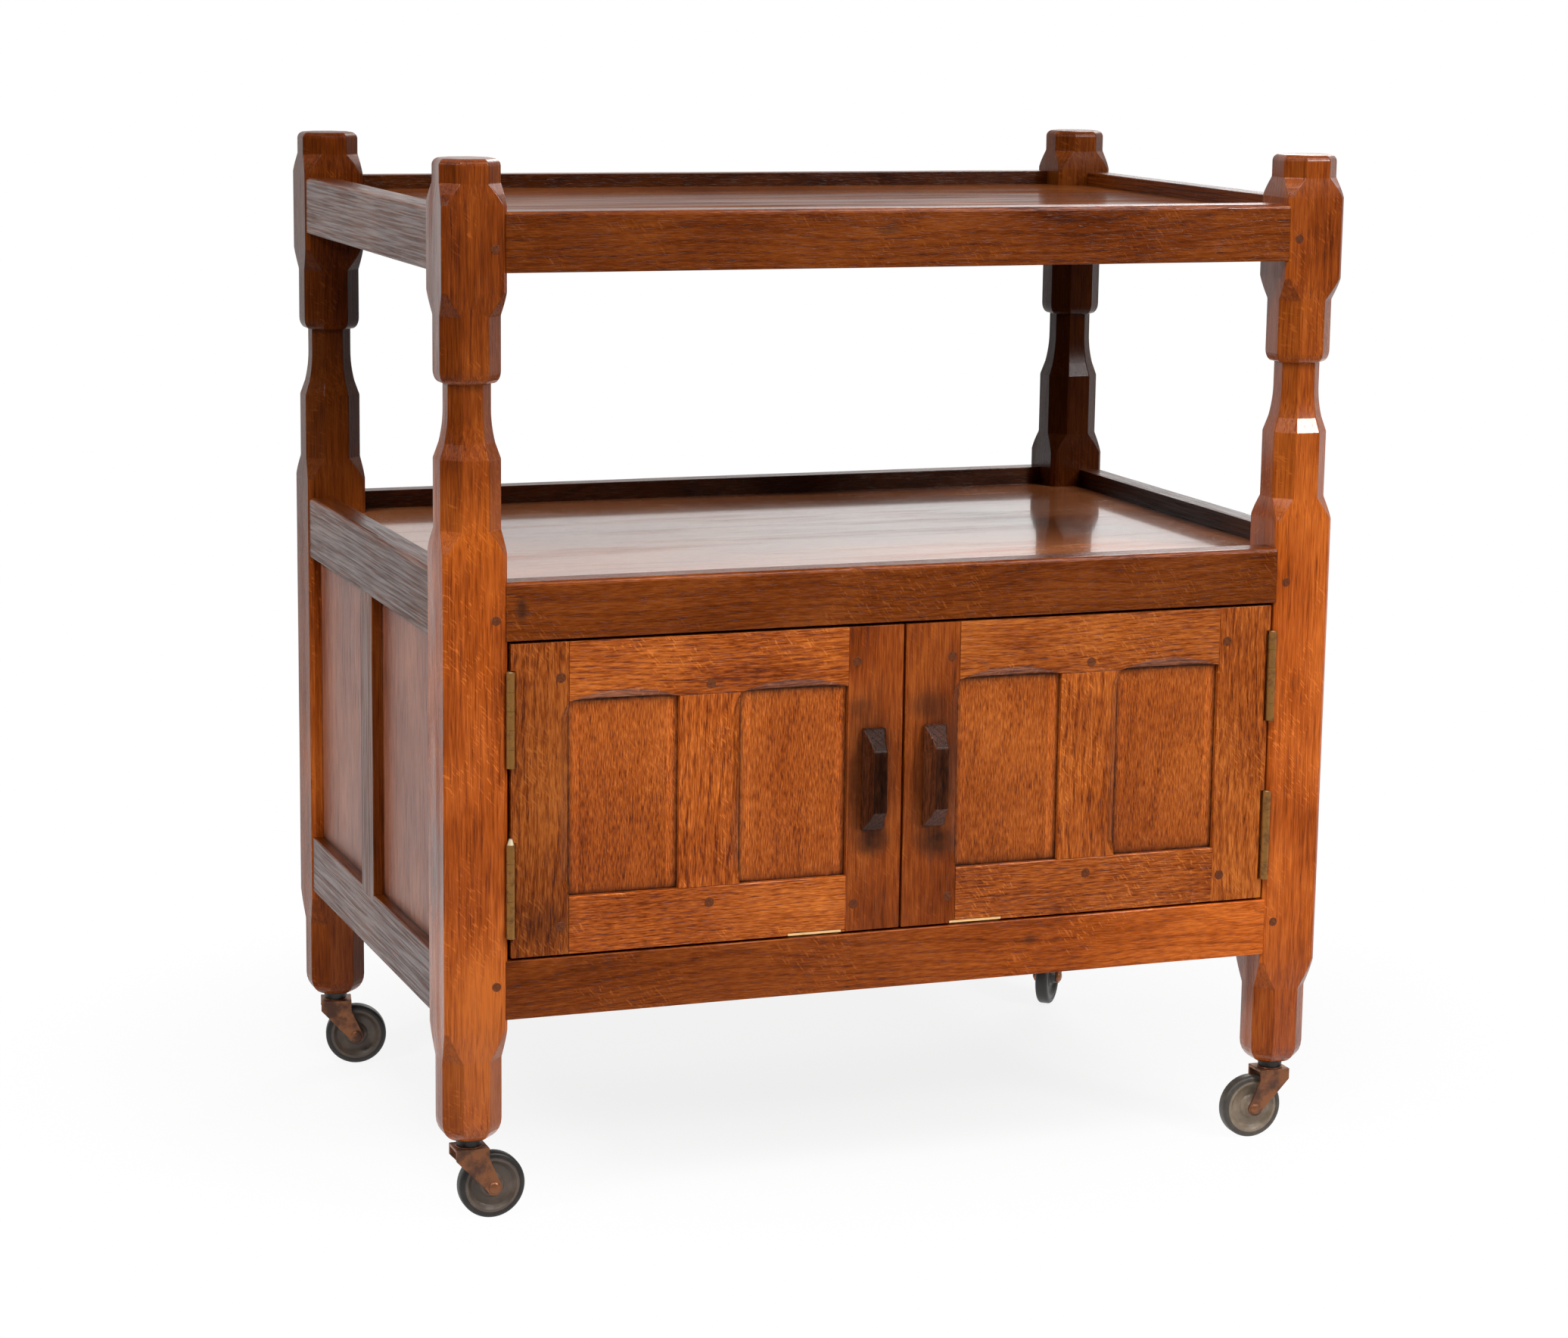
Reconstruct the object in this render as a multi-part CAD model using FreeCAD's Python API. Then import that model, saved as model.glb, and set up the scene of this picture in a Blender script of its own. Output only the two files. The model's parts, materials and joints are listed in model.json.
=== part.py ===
import FreeCAD, Part
import math
import os

from FreeCAD import Vector

# Oak serving trolley: two trays on four carved posts, a two-door cupboard below, swivel castors.
# Millimetres. +Z up, front towards -Y, origin on the floor under the middle of the whole object.

# Carcase
carcase_width = 760.0
carcase_depth = 500.0
foot_level = 67.0
post_height = 767.0
post_side = 51.5

# Rails: the two lower sets are placed from the foot up, the top set from the post's head down
bottom_rail_lift = 100.0
bottom_rail_height = 47.5
bottom_side_rail_height = 49.0
middle_rail_lift = 400.0
middle_front_rail_height = 46.0
middle_rail_height = 52.5
top_rail_drop = 37.5
top_rail_height = 48.0
top_front_rail_step = 1.5

# Rail section and joinery
rail_setback = 1.0
rail_thickness = 22.0
tenon_length = 24.0
tenon_shoulder = 6.0
mortise_spare = 2.0
rail_arris = 3.5
muntin_width = 40.0
side_muntin_count = 1
back_muntin_count = 2

# Panels of the sides and the back
panel_recess = 9.0
panel_thickness = 8.0
groove_depth = 6.0
panel_play = 0.6

# Tray boards and the cupboard floor
board_thickness = 12.0
tongue_thickness = 6.0
tongue_length = 5.0
board_play = 0.4
top_board_drop = 12.0
shelf_board_drop = 15.5
floor_board_drop = 9.5

# Oak pegs through the tenons
peg_radius = 3.8
peg_length = 32.0
peg_inset = 10.0
top_peg_drop = 5.0
middle_peg_drop = 6.0
bottom_peg_rise = 4.0
peg_play = 0.03

# Post carving: the lowest stops by their height above the foot, the highest by their drop below the head, and
# those between the two decks by their shares of the open length from the middle rail up to the top rail
octagon_side = 48.5
octagon_chamfer = 13.5
square_chamfer = 3.5
foot_round = 13.5
foot_round_rise = 17.0
foot_stop_low = 67.0
foot_stop_high = 92.0
waist_stop_low_share = 0.068
waist_stop_high_share = 0.146
flare_low_share = 0.382
flare_high_share = 0.4345
flare_side = 40.5
neck_low_share = 0.548
neck_side = 34.5
neck_high_share = 0.633
cup_side = 37.5
cup_round_high_share = 0.675
cup_stop_low_share = 0.858
cup_stop_high_share = 0.937
head_stop_low_drop = 34.5
head_stop_high_drop = 18.5
head_round = 5.5
round_steps = 5

# Doors
door_gap = 2.0
door_thickness = 20.0
stile_width = 47.0
door_bottom_rail = 46.0
door_top_rail = 47.5
door_muntin_width = 51.5
door_panel_recess = 5.0
door_panel_thickness = 8.0
door_tenon_length = 30.0
door_muntin_tenon = 18.0
door_peg_radius = 3.4
door_peg_length = 16.0
door_peg_inset = 7.0
door_peg_drop = 28.0
door_peg_rise = 22.5
muntin_peg_rise = 8.5
muntin_peg_drop = 13.0

# Hand-worked bevels round the door panels
arch_rise = 8.0
arch_toe_rise = 1.0
side_bevel = 7.0
side_bevel_run = 14.0
bevel_depth = 4.6
bevel_toe = 0.3

# Door pulls
pull_length = 84.0
pull_width = 20.0
pull_ridge_width = 12.0
pull_projection = 19.0
pull_lip = 3.5
pull_end_slope = 17.0
pull_offset = 26.5
pull_rise = 82.5

# Butt hinges
hinge_length = 75.0
hinge_upper_drop = 21.5
hinge_lower_rise = 16.5
hinge_axis_proud = 1.0
knuckle_radius = 3.3
knuckle_count = 5
knuckle_gap = 0.2
knuckle_relief = 0.35
hinge_pin_radius = 1.5
hinge_pin_play = 0.05
pin_tip_radius = 2.6
pin_tip_height = 4.5
leaf_thickness = 1.5
leaf_width = 19.0
leaf_gap = 0.4
screw_row_share = 0.62
screw_count = 3
screw_shank_radius = 1.3
screw_head_radius = 2.8
screw_head_depth = 1.3
screw_length = 14.0
screw_play = 0.05

# Ball catches and their strike plates
left_catch_offset = 74.0
right_catch_offset = 66.0
strike_length = 44.0
strike_width = 15.0
strike_thickness = 1.2
strike_proud = 0.2
strike_dimple_radius = 3.0
strike_dimple_depth = 0.6
ball_radius = 3.5
ball_proud = 1.3
ball_play = 0.12
barrel_radius = 4.6
barrel_length = 15.0
barrel_lip = 0.8
barrel_cap = 1.2
face_plate_length = 45.5
face_plate_width = 17.0
face_plate_thickness = 1.8
face_plate_play = 0.2
spring_wire = 0.5
spring_radius = 2.4
spring_turns = 5
spring_play = 0.3
ball_travel = 1.4

# Castors
wheel_radius = 27.0
castor_trail = 18.0
tyre_width = 12.0
tyre_depth = 4.5
tyre_round = 2.6
disc_web = 5.0
disc_web_inner = 10.5
disc_web_outer = 17.5
rim_flange = 3.0
rim_inset = 0.4
hub_radius = 6.5
hub_flare = 8.0
hub_step = 4.5
hub_width = 18.4
cheek_gap = 19.0
cheek_thickness = 2.5
cheek_back = 13.0
cheek_ahead = 14.0
cheek_shoulder = 9.2
cheek_end_radius = 6.5
crown_radius = 11.0
crown_rise = 1.0
web_thickness = 2.5
socket_radius = 10.7
socket_taper = 1.0
socket_thickness = 5.5
stem_radius = 4.0
stem_length = 32.0
stem_head_radius = 6.5
stem_head_thickness = 2.0
swivel_gap = 0.3
axle_radius = 3.0
axle_play = 0.05
rivet_head_radius = 5.0
rivet_head_height = 2.2
castor_headings = {"front_left": 0.0, "front_right": 180.0, "back_left": -12.0, "back_right": -128.0}

# Spare length of a cutting tool beyond the wood
overrun = 2.0

# Derived places
half_width = carcase_width / 2
pull_proud = pull_projection - rail_setback
front_y = -(carcase_depth - pull_proud) / 2
back_y = front_y + carcase_depth
middle_y = (front_y + back_y) / 2
inner_x = half_width - post_side
inner_front_y = front_y + post_side
inner_back_y = back_y - post_side
tongue_near = rail_setback + panel_recess
tongue_far = tongue_near + panel_thickness
rail_inner = rail_setback + rail_thickness
bottom_rail_low = foot_level + bottom_rail_lift
bottom_rail_top = bottom_rail_low + bottom_rail_height
bottom_side_rail_top = bottom_rail_low + bottom_side_rail_height
middle_rail_low = foot_level + middle_rail_lift
middle_front_rail_top = middle_rail_low + middle_front_rail_height
middle_rail_top = middle_rail_low + middle_rail_height
top_rail_top = foot_level + post_height - top_rail_drop
top_front_rail_top = top_rail_top - top_front_rail_step
top_rail_low = top_rail_top - top_rail_height
top_board_level = top_rail_top - top_board_drop
shelf_board_level = middle_rail_top - shelf_board_drop
floor_board_level = bottom_rail_top - floor_board_drop
open_low = middle_rail_lift + middle_rail_height
open_high = post_height - top_rail_drop - top_rail_height
door_face_y = front_y + rail_setback
door_back_y = door_face_y + door_thickness
door_low = bottom_rail_top + door_gap
door_high = middle_rail_low - door_gap
hinge_upper_low = door_high - hinge_upper_drop - hinge_length
hinge_lower_low = door_low + hinge_lower_rise
pull_low = door_low + pull_rise
door_hinge_x = -inner_x + door_gap
door_lock_x = -door_gap / 2
hinge_axis_x = -inner_x + door_gap / 2
hinge_axis_y = front_y - hinge_axis_proud

SIDES = ("front", "back", "left", "right")


def box(x0, x1, y0, y1, z0, z1):
    """A block between two corners."""
    return Part.makeBox(x1 - x0, y1 - y0, z1 - z0, Vector(x0, y0, z0))


def side_box(side, s0, s1, d0, d1, z0, z1):
    """A block along one side of the carcase: s runs along the side, d inwards from the posts' faces."""
    if side == "front":
        return box(s0, s1, front_y + d0, front_y + d1, z0, z1)
    if side == "back":
        return box(s0, s1, back_y - d1, back_y - d0, z0, z1)
    if side == "left":
        return box(-half_width + d0, -half_width + d1, s0, s1, z0, z1)
    return box(half_width - d1, half_width - d0, s0, s1, z0, z1)


def span(side):
    """The clear run between the two posts of a side."""
    if side in ("front", "back"):
        return -inner_x, inner_x
    return inner_front_y, inner_back_y


def cylinder(radius, height, base, direction):
    return Part.makeCylinder(radius, height, base, direction)


def mirror_x(shape):
    return shape.mirror(Vector(0, 0, 0), Vector(1, 0, 0))


def group(shapes):
    """Separate solids that share one node."""
    solids = []
    for shape in shapes:
        solids.extend(shape.Solids)
    return Part.makeCompound(solids)


def joined(shapes):
    """One solid out of overlapping or touching blocks."""
    return shapes[0].multiFuse(shapes[1:]).removeSplitter()


def save(name, shape):
    shape.exportStep("parts/" + name + ".step")


# Posts: a stack of eight-sided rings, so that each carved facet is a flat face


def ring(level, side, chamfer):
    """Eight corners of a square with its corners cut off, at one level."""
    half = side / 2
    flat = half - chamfer
    corners = ((half, -flat), (half, flat), (flat, half), (-flat, half),
               (-half, flat), (-half, -flat), (-flat, -half), (flat, -half))
    return [Vector(x, y, level) for x, y in corners]


def octagon(level, side):
    """A ring whose chamfers keep the octagon's share of its side."""
    return ring(level, side, octagon_chamfer * side / octagon_side)


def open_level(share):
    """A level on the post that keeps its share of the open length between the decks."""
    return open_low + (open_high - open_low) * share


def foot_rings():
    rings = []
    for step in range(round_steps + 1):
        angle = math.radians(90) * step / round_steps
        level = foot_round_rise * (1 - math.cos(angle))
        rings.append(octagon(level, octagon_side - 2 * foot_round * (1 - math.sin(angle))))
    return rings


def neck_rings():
    """The hollow curve that sweeps the flare in to the neck."""
    rings = []
    flare_high = open_level(flare_high_share)
    neck_low = open_level(neck_low_share)
    for step in range(round_steps + 1):
        share = step / round_steps
        level = flare_high + (neck_low - flare_high) * share
        rings.append(octagon(level, neck_side + (flare_side - neck_side) * (1 - share) ** 2))
    return rings


def cup_rings():
    """The rounded underside of the cup above the neck."""
    rings = []
    neck_high = open_level(neck_high_share)
    cup_round_high = open_level(cup_round_high_share)
    for step in range(round_steps + 1):
        angle = math.radians(90) * step / round_steps
        level = cup_round_high - (cup_round_high - neck_high) * math.cos(angle)
        rings.append(octagon(level, cup_side + (octagon_side - cup_side) * math.sin(angle)))
    return rings


def head_rings():
    rings = []
    for step in range(round_steps + 1):
        angle = math.radians(90) * step / round_steps
        level = post_height - head_round * (1 - math.sin(angle))
        rings.append(octagon(level, octagon_side - 2 * head_round * (1 - math.cos(angle))))
    return rings


def post_blank():
    """The carved post before its joints are cut, centred on its own axis with its foot at zero."""
    rings = foot_rings()
    rings.append(octagon(foot_stop_low, octagon_side))
    rings.append(ring(foot_stop_high, post_side, square_chamfer))
    rings.append(ring(open_level(waist_stop_low_share), post_side, square_chamfer))
    rings.append(octagon(open_level(waist_stop_high_share), octagon_side))
    rings.append(octagon(open_level(flare_low_share), octagon_side))
    rings.extend(neck_rings())
    rings.append(octagon(open_level(neck_high_share), neck_side))
    rings.extend(cup_rings())
    rings.append(octagon(open_level(cup_stop_low_share), octagon_side))
    rings.append(ring(open_level(cup_stop_high_share), post_side, square_chamfer))
    rings.append(ring(post_height - head_stop_low_drop, post_side, square_chamfer))
    rings.append(octagon(post_height - head_stop_high_drop, octagon_side))
    rings.extend(head_rings())
    faces = [facet(list(reversed(rings[0]))), facet(rings[-1])]
    for low, high in zip(rings, rings[1:]):
        for i in range(len(low)):
            j = (i + 1) % len(low)
            faces.append(facet([low[i], low[j], high[j], high[i]]))
    return Part.makeSolid(Part.makeShell(faces))


def facet(points):
    return Part.Face(Part.makePolygon(points + points[:1]))


# Rails with their tenons, grooves and mortises


def rail_levels(level, side):
    """Lowest and highest level of a rail."""
    front = side == "front"
    if level == "bottom":
        return bottom_rail_low, bottom_rail_top if front else bottom_side_rail_top
    if level == "middle":
        return middle_rail_low, middle_front_rail_top if front else middle_rail_top
    return top_rail_low, top_front_rail_top if front else top_rail_top


def tenons(level, side, length):
    """Both tenons of a rail, or the blocks that cut their mortises."""
    s0, s1 = span(side)
    low, high = rail_levels(level, side)
    z0 = low + tenon_shoulder
    z1 = high - tenon_shoulder
    return [side_box(side, s0 - length, s0, tongue_near, tongue_far, z0, z1),
            side_box(side, s1, s1 + length, tongue_near, tongue_far, z0, z1)]


def board_level(level):
    return {"bottom": floor_board_level, "middle": shelf_board_level, "top": top_board_level}[level]


def outer_top_edge(body, side, high):
    """The long upper edge of a rail on the outside of the carcase."""
    outward = {"front": (0, -1), "back": (0, 1), "left": (-1, 0), "right": (1, 0)}[side]

    def reach(edge):
        middle = edge.CenterOfMass
        return outward[0] * middle.x + outward[1] * middle.y

    return max((edge for edge in body.Edges if edge.BoundBox.ZMin > high - rail_arris), key=reach)


def rail(level, side):
    """A rail with its tenons, the groove for its board and the groove for the panels beside it."""
    s0, s1 = span(side)
    low, high = rail_levels(level, side)
    body = side_box(side, s0, s1, rail_setback, rail_inner, low, high)
    if level != "bottom":
        body = body.makeFillet(rail_arris, [outer_top_edge(body, side, high)])
    blank = joined([body] + tenons(level, side, tenon_length))
    board_low = board_level(level) - board_thickness
    cuts = [side_box(side, s0 - overrun, s1 + overrun, rail_inner - tongue_length - board_play,
                     rail_inner + overrun, board_low, board_low + tongue_thickness)]
    if side != "front" and level == "middle":
        cuts.append(side_box(side, s0, s1, tongue_near, tongue_far, low - overrun, low + groove_depth))
    if side != "front" and level == "bottom":
        cuts.append(side_box(side, s0, s1, tongue_near, tongue_far, high - groove_depth, high + overrun))
    return blank.cut(cuts)


def peg_places():
    """Side, level, place along the side and height of each frame peg."""
    drops = {"top": -top_peg_drop, "middle": -middle_peg_drop, "bottom": bottom_peg_rise}
    places = []
    for side in ("front", "back"):
        for level in ("bottom", "middle", "top"):
            low, high = rail_levels(level, side)
            for hand in (-1, 1):
                places.append((side, hand * (inner_x + peg_inset), (low + high) / 2 + drops[level]))
    return places


def peg(place, radius, extra):
    side, x, z = place
    if side == "front":
        return cylinder(radius, peg_length + extra, Vector(x, front_y, z), Vector(0, 1, 0))
    return cylinder(radius, peg_length + extra, Vector(x, back_y, z), Vector(0, -1, 0))


PEG_HOLES = [peg(place, peg_radius + peg_play, peg_play) for place in peg_places()]


def near(tools, shape):
    """The cutting tools whose boxes meet the shape's box."""
    return [tool for tool in tools if tool.BoundBox.intersect(shape.BoundBox)]


# Butt hinges, worked out for the left door and mirrored for the right one

HINGE_LOWS = (hinge_lower_low, hinge_upper_low)


def hinge_cylinder(radius, z0, z1):
    return cylinder(radius, z1 - z0, Vector(hinge_axis_x, hinge_axis_y, z0), Vector(0, 0, 1))


def knuckles(low, owner, radius, gap):
    """Knuckles of one leaf: the post's leaf has the even places, the door's leaf the odd ones."""
    pitch = hinge_length / knuckle_count
    first = 0 if owner == "post" else 1
    return [hinge_cylinder(radius, low + pitch * i + gap, low + pitch * (i + 1) - gap)
            for i in range(first, knuckle_count, 2)]


def leaf_plate(low, owner):
    near_x = leaf_gap / 2
    far_x = leaf_gap / 2 + leaf_thickness
    if owner == "post":
        near_x, far_x = -far_x, -near_x
    return box(hinge_axis_x + near_x, hinge_axis_x + far_x,
               hinge_axis_y, hinge_axis_y + leaf_width, low, low + hinge_length)


def screw_places(low):
    pitch = hinge_length / screw_count
    y = hinge_axis_y + leaf_width * screw_row_share
    return [(y, low + pitch * (i + 0.5)) for i in range(screw_count)]


def leaf_screw(owner, y, z, play):
    """A countersunk screw through a leaf, flush with the leaf's inner face."""
    hand = -1 if owner == "post" else 1
    start = Vector(hinge_axis_x + hand * leaf_gap / 2, y, z)
    direction = Vector(hand, 0, 0)
    shank_radius = screw_shank_radius + play
    head = Part.makeCone(screw_head_radius + play, shank_radius, screw_head_depth, start, direction)
    return joined([head, cylinder(shank_radius, screw_length + play, start, direction)])


def hinge_leaf(low, owner):
    other = "door" if owner == "post" else "post"
    body = joined([leaf_plate(low, owner)] + knuckles(low, owner, knuckle_radius, knuckle_gap / 2))
    cuts = knuckles(low, other, knuckle_radius + knuckle_gap, -knuckle_gap / 2)
    bore_radius = hinge_pin_radius + hinge_pin_play
    cuts.append(hinge_cylinder(bore_radius, low - overrun, low + hinge_length + overrun))
    cuts.extend(leaf_screw(owner, y, z, screw_play) for y, z in screw_places(low))
    return body.cut(cuts)


def hinge_pin(low):
    return hinge_cylinder(hinge_pin_radius, low, low + hinge_length)


def tipped_pin(low):
    """The one pin that has crept up, so that its tapered head stands over the knuckles."""
    tip = Part.makeCone(pin_tip_radius, pin_tip_radius / 2, pin_tip_height,
                        Vector(hinge_axis_x, hinge_axis_y, low + hinge_length), Vector(0, 0, 1))
    return joined([hinge_pin(low), tip])


def hinge_cuts(owner):
    """What a hinge takes out of the post or of the door's stile."""
    cuts = []
    for low in HINGE_LOWS:
        knuckles_end = low + hinge_length + knuckle_relief
        cuts.append(leaf_plate(low, owner))
        cuts.append(hinge_cylinder(knuckle_radius + knuckle_relief, low - knuckle_relief, knuckles_end))
        cuts.append(hinge_cylinder(pin_tip_radius + knuckle_relief, low, knuckles_end + pin_tip_height))
        cuts.extend(leaf_screw(owner, y, z, screw_play) for y, z in screw_places(low))
    return cuts


# Carcase pieces


def post(name):
    """A post set on its corner, with mortises, panel grooves, peg holes, hinge recesses and stem bore."""
    depth_side, hand_side = name.split("_")
    x = (half_width - post_side / 2) * (-1 if hand_side == "left" else 1)
    y = front_y + post_side / 2 if depth_side == "front" else back_y - post_side / 2
    shape = post_blank()
    shape.translate(Vector(x, y, foot_level))
    cuts = []
    for side in (depth_side, hand_side):
        s0, s1 = span(side)
        for level in ("bottom", "middle", "top"):
            cuts.extend(tenons(level, side, tenon_length + mortise_spare))
        if side != "front":
            z0 = rail_levels("bottom", side)[1] - groove_depth
            z1 = middle_rail_low + groove_depth
            cuts.append(side_box(side, s0 - groove_depth, s1 + groove_depth, tongue_near, tongue_far, z0, z1))
    cuts.extend(PEG_HOLES)
    cuts.append(cylinder(stem_radius + axle_play, stem_length + mortise_spare,
                         Vector(x, y, foot_level), Vector(0, 0, 1)))
    if name == "front_left":
        cuts.extend(hinge_cuts("post"))
    if name == "front_right":
        cuts.extend(mirror_x(cut) for cut in hinge_cuts("post"))
    return shape.cut(near(cuts, shape))


def board(level, clearance):
    """A tray board with a tongue all round and its corners cut off past the posts."""
    top = board_level(level)
    bottom = top - board_thickness

    def outline(half_x, half_y):
        reach = inner_x + (inner_back_y - middle_y) - clearance
        points = []
        for sx, sy in ((1, -1), (1, 1), (-1, 1), (-1, -1)):
            corner = [Vector(sx * half_x, middle_y + sy * (reach - half_x), bottom),
                      Vector(sx * (reach - half_y), middle_y + sy * half_y, bottom)]
            points.extend(corner if sx * sy > 0 else reversed(corner))
        return facet(points)

    half_x = half_width - rail_inner - board_play
    half_y = carcase_depth / 2 - rail_inner - board_play
    body = outline(half_x, half_y).extrude(Vector(0, 0, board_thickness))
    tongue = outline(half_x + tongue_length, half_y + tongue_length).extrude(Vector(0, 0, tongue_thickness))
    return body.fuse(tongue).removeSplitter()


def fields(side, count):
    """Cells between the posts and the muntins of a side: first and last place of each panel's opening."""
    s0, s1 = span(side)
    clear = (s1 - s0 - count * muntin_width) / (count + 1)
    starts = [s0 + i * (clear + muntin_width) for i in range(count + 1)]
    return [(start, start + clear) for start in starts]


def field_levels(side):
    return rail_levels("bottom", side)[1], middle_rail_low


def muntins(side, count):
    """Upright bars between the panels, stub-tenoned into the rails' grooves."""
    z0, z1 = field_levels(side)
    cells = fields(side, count)
    pieces = []
    for left, right in zip(cells, cells[1:]):
        s0, s1 = left[1], right[0]
        body = side_box(side, s0, s1, rail_setback, rail_inner, z0, z1)
        stub = side_box(side, s0, s1, tongue_near, tongue_far, z0 - groove_depth, z1 + groove_depth)
        grooves = [side_box(side, s0 - overrun, s0 + groove_depth, tongue_near, tongue_far,
                            z0 - groove_depth - overrun, z1 + groove_depth + overrun),
                   side_box(side, s1 - groove_depth, s1 + overrun, tongue_near, tongue_far,
                            z0 - groove_depth - overrun, z1 + groove_depth + overrun)]
        pieces.append(joined([body, stub]).cut(grooves))
    return pieces


def panels(side, count):
    """Flat panels, held in the grooves with room to move."""
    z0, z1 = field_levels(side)
    reach = groove_depth - panel_play
    return [side_box(side, s0 - reach, s1 + reach, tongue_near, tongue_far, z0 - reach, z1 + reach)
            for s0, s1 in fields(side, count)]


# Doors, worked out for the left one and mirrored for the right one

opening_low = door_low + door_bottom_rail
opening_high = door_high - door_top_rail
stile_inner_hinge = door_hinge_x + stile_width
stile_inner_lock = door_lock_x - stile_width
door_middle_x = (stile_inner_hinge + stile_inner_lock) / 2
muntin_left = door_middle_x - door_muntin_width / 2
muntin_right = door_middle_x + door_muntin_width / 2
tongue_front = door_face_y + door_panel_recess
tongue_back = tongue_front + door_panel_thickness
DOOR_FIELDS = ((stile_inner_hinge, muntin_left), (muntin_right, stile_inner_lock))


def door_box(x0, x1, z0, z1):
    return box(x0, x1, door_face_y, door_back_y, z0, z1)


def door_tongue(x0, x1, z0, z1):
    """A block in the plane of the door's panels and tenons."""
    return box(x0, x1, tongue_front, tongue_back, z0, z1)


def wire(points_front, points_back):
    """Two outlines, one on the door's face and one at the bevel's depth, joined by ruled faces."""
    return Part.makeLoft([Part.makePolygon(points_front + points_front[:1]),
                          Part.makePolygon(points_back + points_back[:1])], True, True)


def side_bevel_cut(x, hand):
    """The stopped bevel along the side of a panel's opening; hand points into the wood."""
    outlines = []
    for y, width in ((door_face_y - overrun, side_bevel * (bevel_depth + overrun) / bevel_depth),
                     (door_face_y + bevel_depth, bevel_toe)):
        run = side_bevel_run * min(width / side_bevel, 1)
        outlines.append([Vector(x - hand * overrun, y, opening_low), Vector(x, y, opening_low),
                         Vector(x + hand * width, y, opening_low + run),
                         Vector(x + hand * width, y, opening_high - run),
                         Vector(x, y, opening_high), Vector(x - hand * overrun, y, opening_high)])
    return wire(outlines[0], outlines[1])


def arch_cut(x0, x1):
    """The scooped bevel over a panel: a shallow arch on the face that runs out at the corners."""
    sections = []
    for y, rise in ((door_face_y - overrun, arch_rise * (bevel_depth + overrun) / bevel_depth),
                    (door_face_y + bevel_depth, arch_toe_rise)):
        left = Vector(x0, y, opening_high)
        right = Vector(x1, y, opening_high)
        crown = Vector((x0 + x1) / 2, y, opening_high + rise)
        sections.append(Part.Wire([Part.Arc(left, crown, right).toShape(),
                                   Part.LineSegment(right, left).toShape()]))
    return Part.makeLoft(sections, True, True)


def door_peg_places():
    """Places of the door's pegs: at the tenons of both rails and at both ends of the muntin."""
    high = door_high - door_peg_drop
    low = door_low + door_peg_rise
    left = stile_inner_hinge - door_peg_inset
    right = stile_inner_lock + door_peg_inset
    return [(left, high), (right, high), (left, low), (right, low),
            (door_middle_x, opening_high + muntin_peg_rise), (door_middle_x, opening_low - muntin_peg_drop)]


def door_peg(place, radius, extra):
    x, z = place
    return cylinder(radius, door_peg_length + extra, Vector(x, door_face_y, z), Vector(0, 1, 0))


DOOR_PEG_HOLES = [door_peg(place, door_peg_radius + peg_play, peg_play) for place in door_peg_places()]


def door_rail(z0, z1, grooved_edge):
    """A door rail with both tenons and the groove along its panel edge."""
    tenon = door_tongue(stile_inner_hinge - door_tenon_length, stile_inner_lock + door_tenon_length,
                        z0 + tenon_shoulder, z1 - tenon_shoulder)
    blank = joined([door_box(stile_inner_hinge, stile_inner_lock, z0, z1), tenon])
    if grooved_edge == z1:
        groove = door_tongue(stile_inner_hinge, stile_inner_lock, z1 - groove_depth, z1 + overrun)
        mortise = door_tongue(muntin_left + tenon_shoulder, muntin_right - tenon_shoulder,
                              z1 - door_muntin_tenon - mortise_spare, z1 + overrun)
    else:
        groove = door_tongue(stile_inner_hinge, stile_inner_lock, z0 - overrun, z0 + groove_depth)
        mortise = door_tongue(muntin_left + tenon_shoulder, muntin_right - tenon_shoulder,
                              z0 - overrun, z0 + door_muntin_tenon + mortise_spare)
    return blank.cut([groove, mortise])


def barrel_place(offset):
    """Middle of a catch's lower end; each catch has its own offset from the doors' meeting line."""
    return Vector(-offset, (door_face_y + door_back_y) / 2, door_low)


def face_plate_block(offset, play):
    """The catch's face plate in the door's lower edge, its front edge flush with the door's face."""
    reach = face_plate_length / 2 + play
    return box(-offset - reach, -offset + reach, door_face_y, door_face_y + face_plate_width + play,
               door_low, door_low + face_plate_thickness + play)


def catch_barrel(offset):
    """The catch's brass barrel with its face plate, let into the door's lower edge."""
    foot = barrel_place(offset)
    up = Vector(0, 0, 1)
    body = joined([cylinder(barrel_radius, barrel_length, foot, up), face_plate_block(offset, 0)])
    bore = cylinder(ball_radius + ball_play, barrel_length - barrel_lip - barrel_cap,
                    foot + Vector(0, 0, barrel_lip), up)
    mouth_radius = math.sqrt(ball_radius ** 2 - (ball_radius - ball_proud - barrel_lip) ** 2) + ball_play
    mouth = cylinder(mouth_radius, barrel_lip + overrun, foot - Vector(0, 0, overrun / 2), up)
    return body.cut([bore, mouth])


def catch_ball(offset):
    return Part.makeSphere(ball_radius, barrel_place(offset) + Vector(0, 0, ball_radius - ball_proud))


def barrel_cuts(offset):
    """What a catch takes out of the door's lower edge."""
    hole = cylinder(barrel_radius + peg_play, barrel_length + peg_play, barrel_place(offset), Vector(0, 0, 1))
    return [hole, face_plate_block(offset, face_plate_play)]


def strike_block(offset):
    """The strike plate's block, let into the top edge of the front bottom rail."""
    y = (door_face_y + door_back_y) / 2
    top = bottom_rail_top + strike_proud
    return box(-offset - strike_length / 2, -offset + strike_length / 2,
               y - strike_width / 2, y + strike_width / 2, top - strike_thickness, top)


def strike_plate(offset):
    """A strike plate with a dimple under the ball."""
    foot = barrel_place(offset)
    top = bottom_rail_top + strike_proud
    dimple = Part.makeCone(strike_dimple_radius / 2, strike_dimple_radius, strike_dimple_depth,
                           Vector(foot.x, foot.y, top - strike_dimple_depth), Vector(0, 0, 1))
    return strike_block(offset).cut(dimple)


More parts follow.
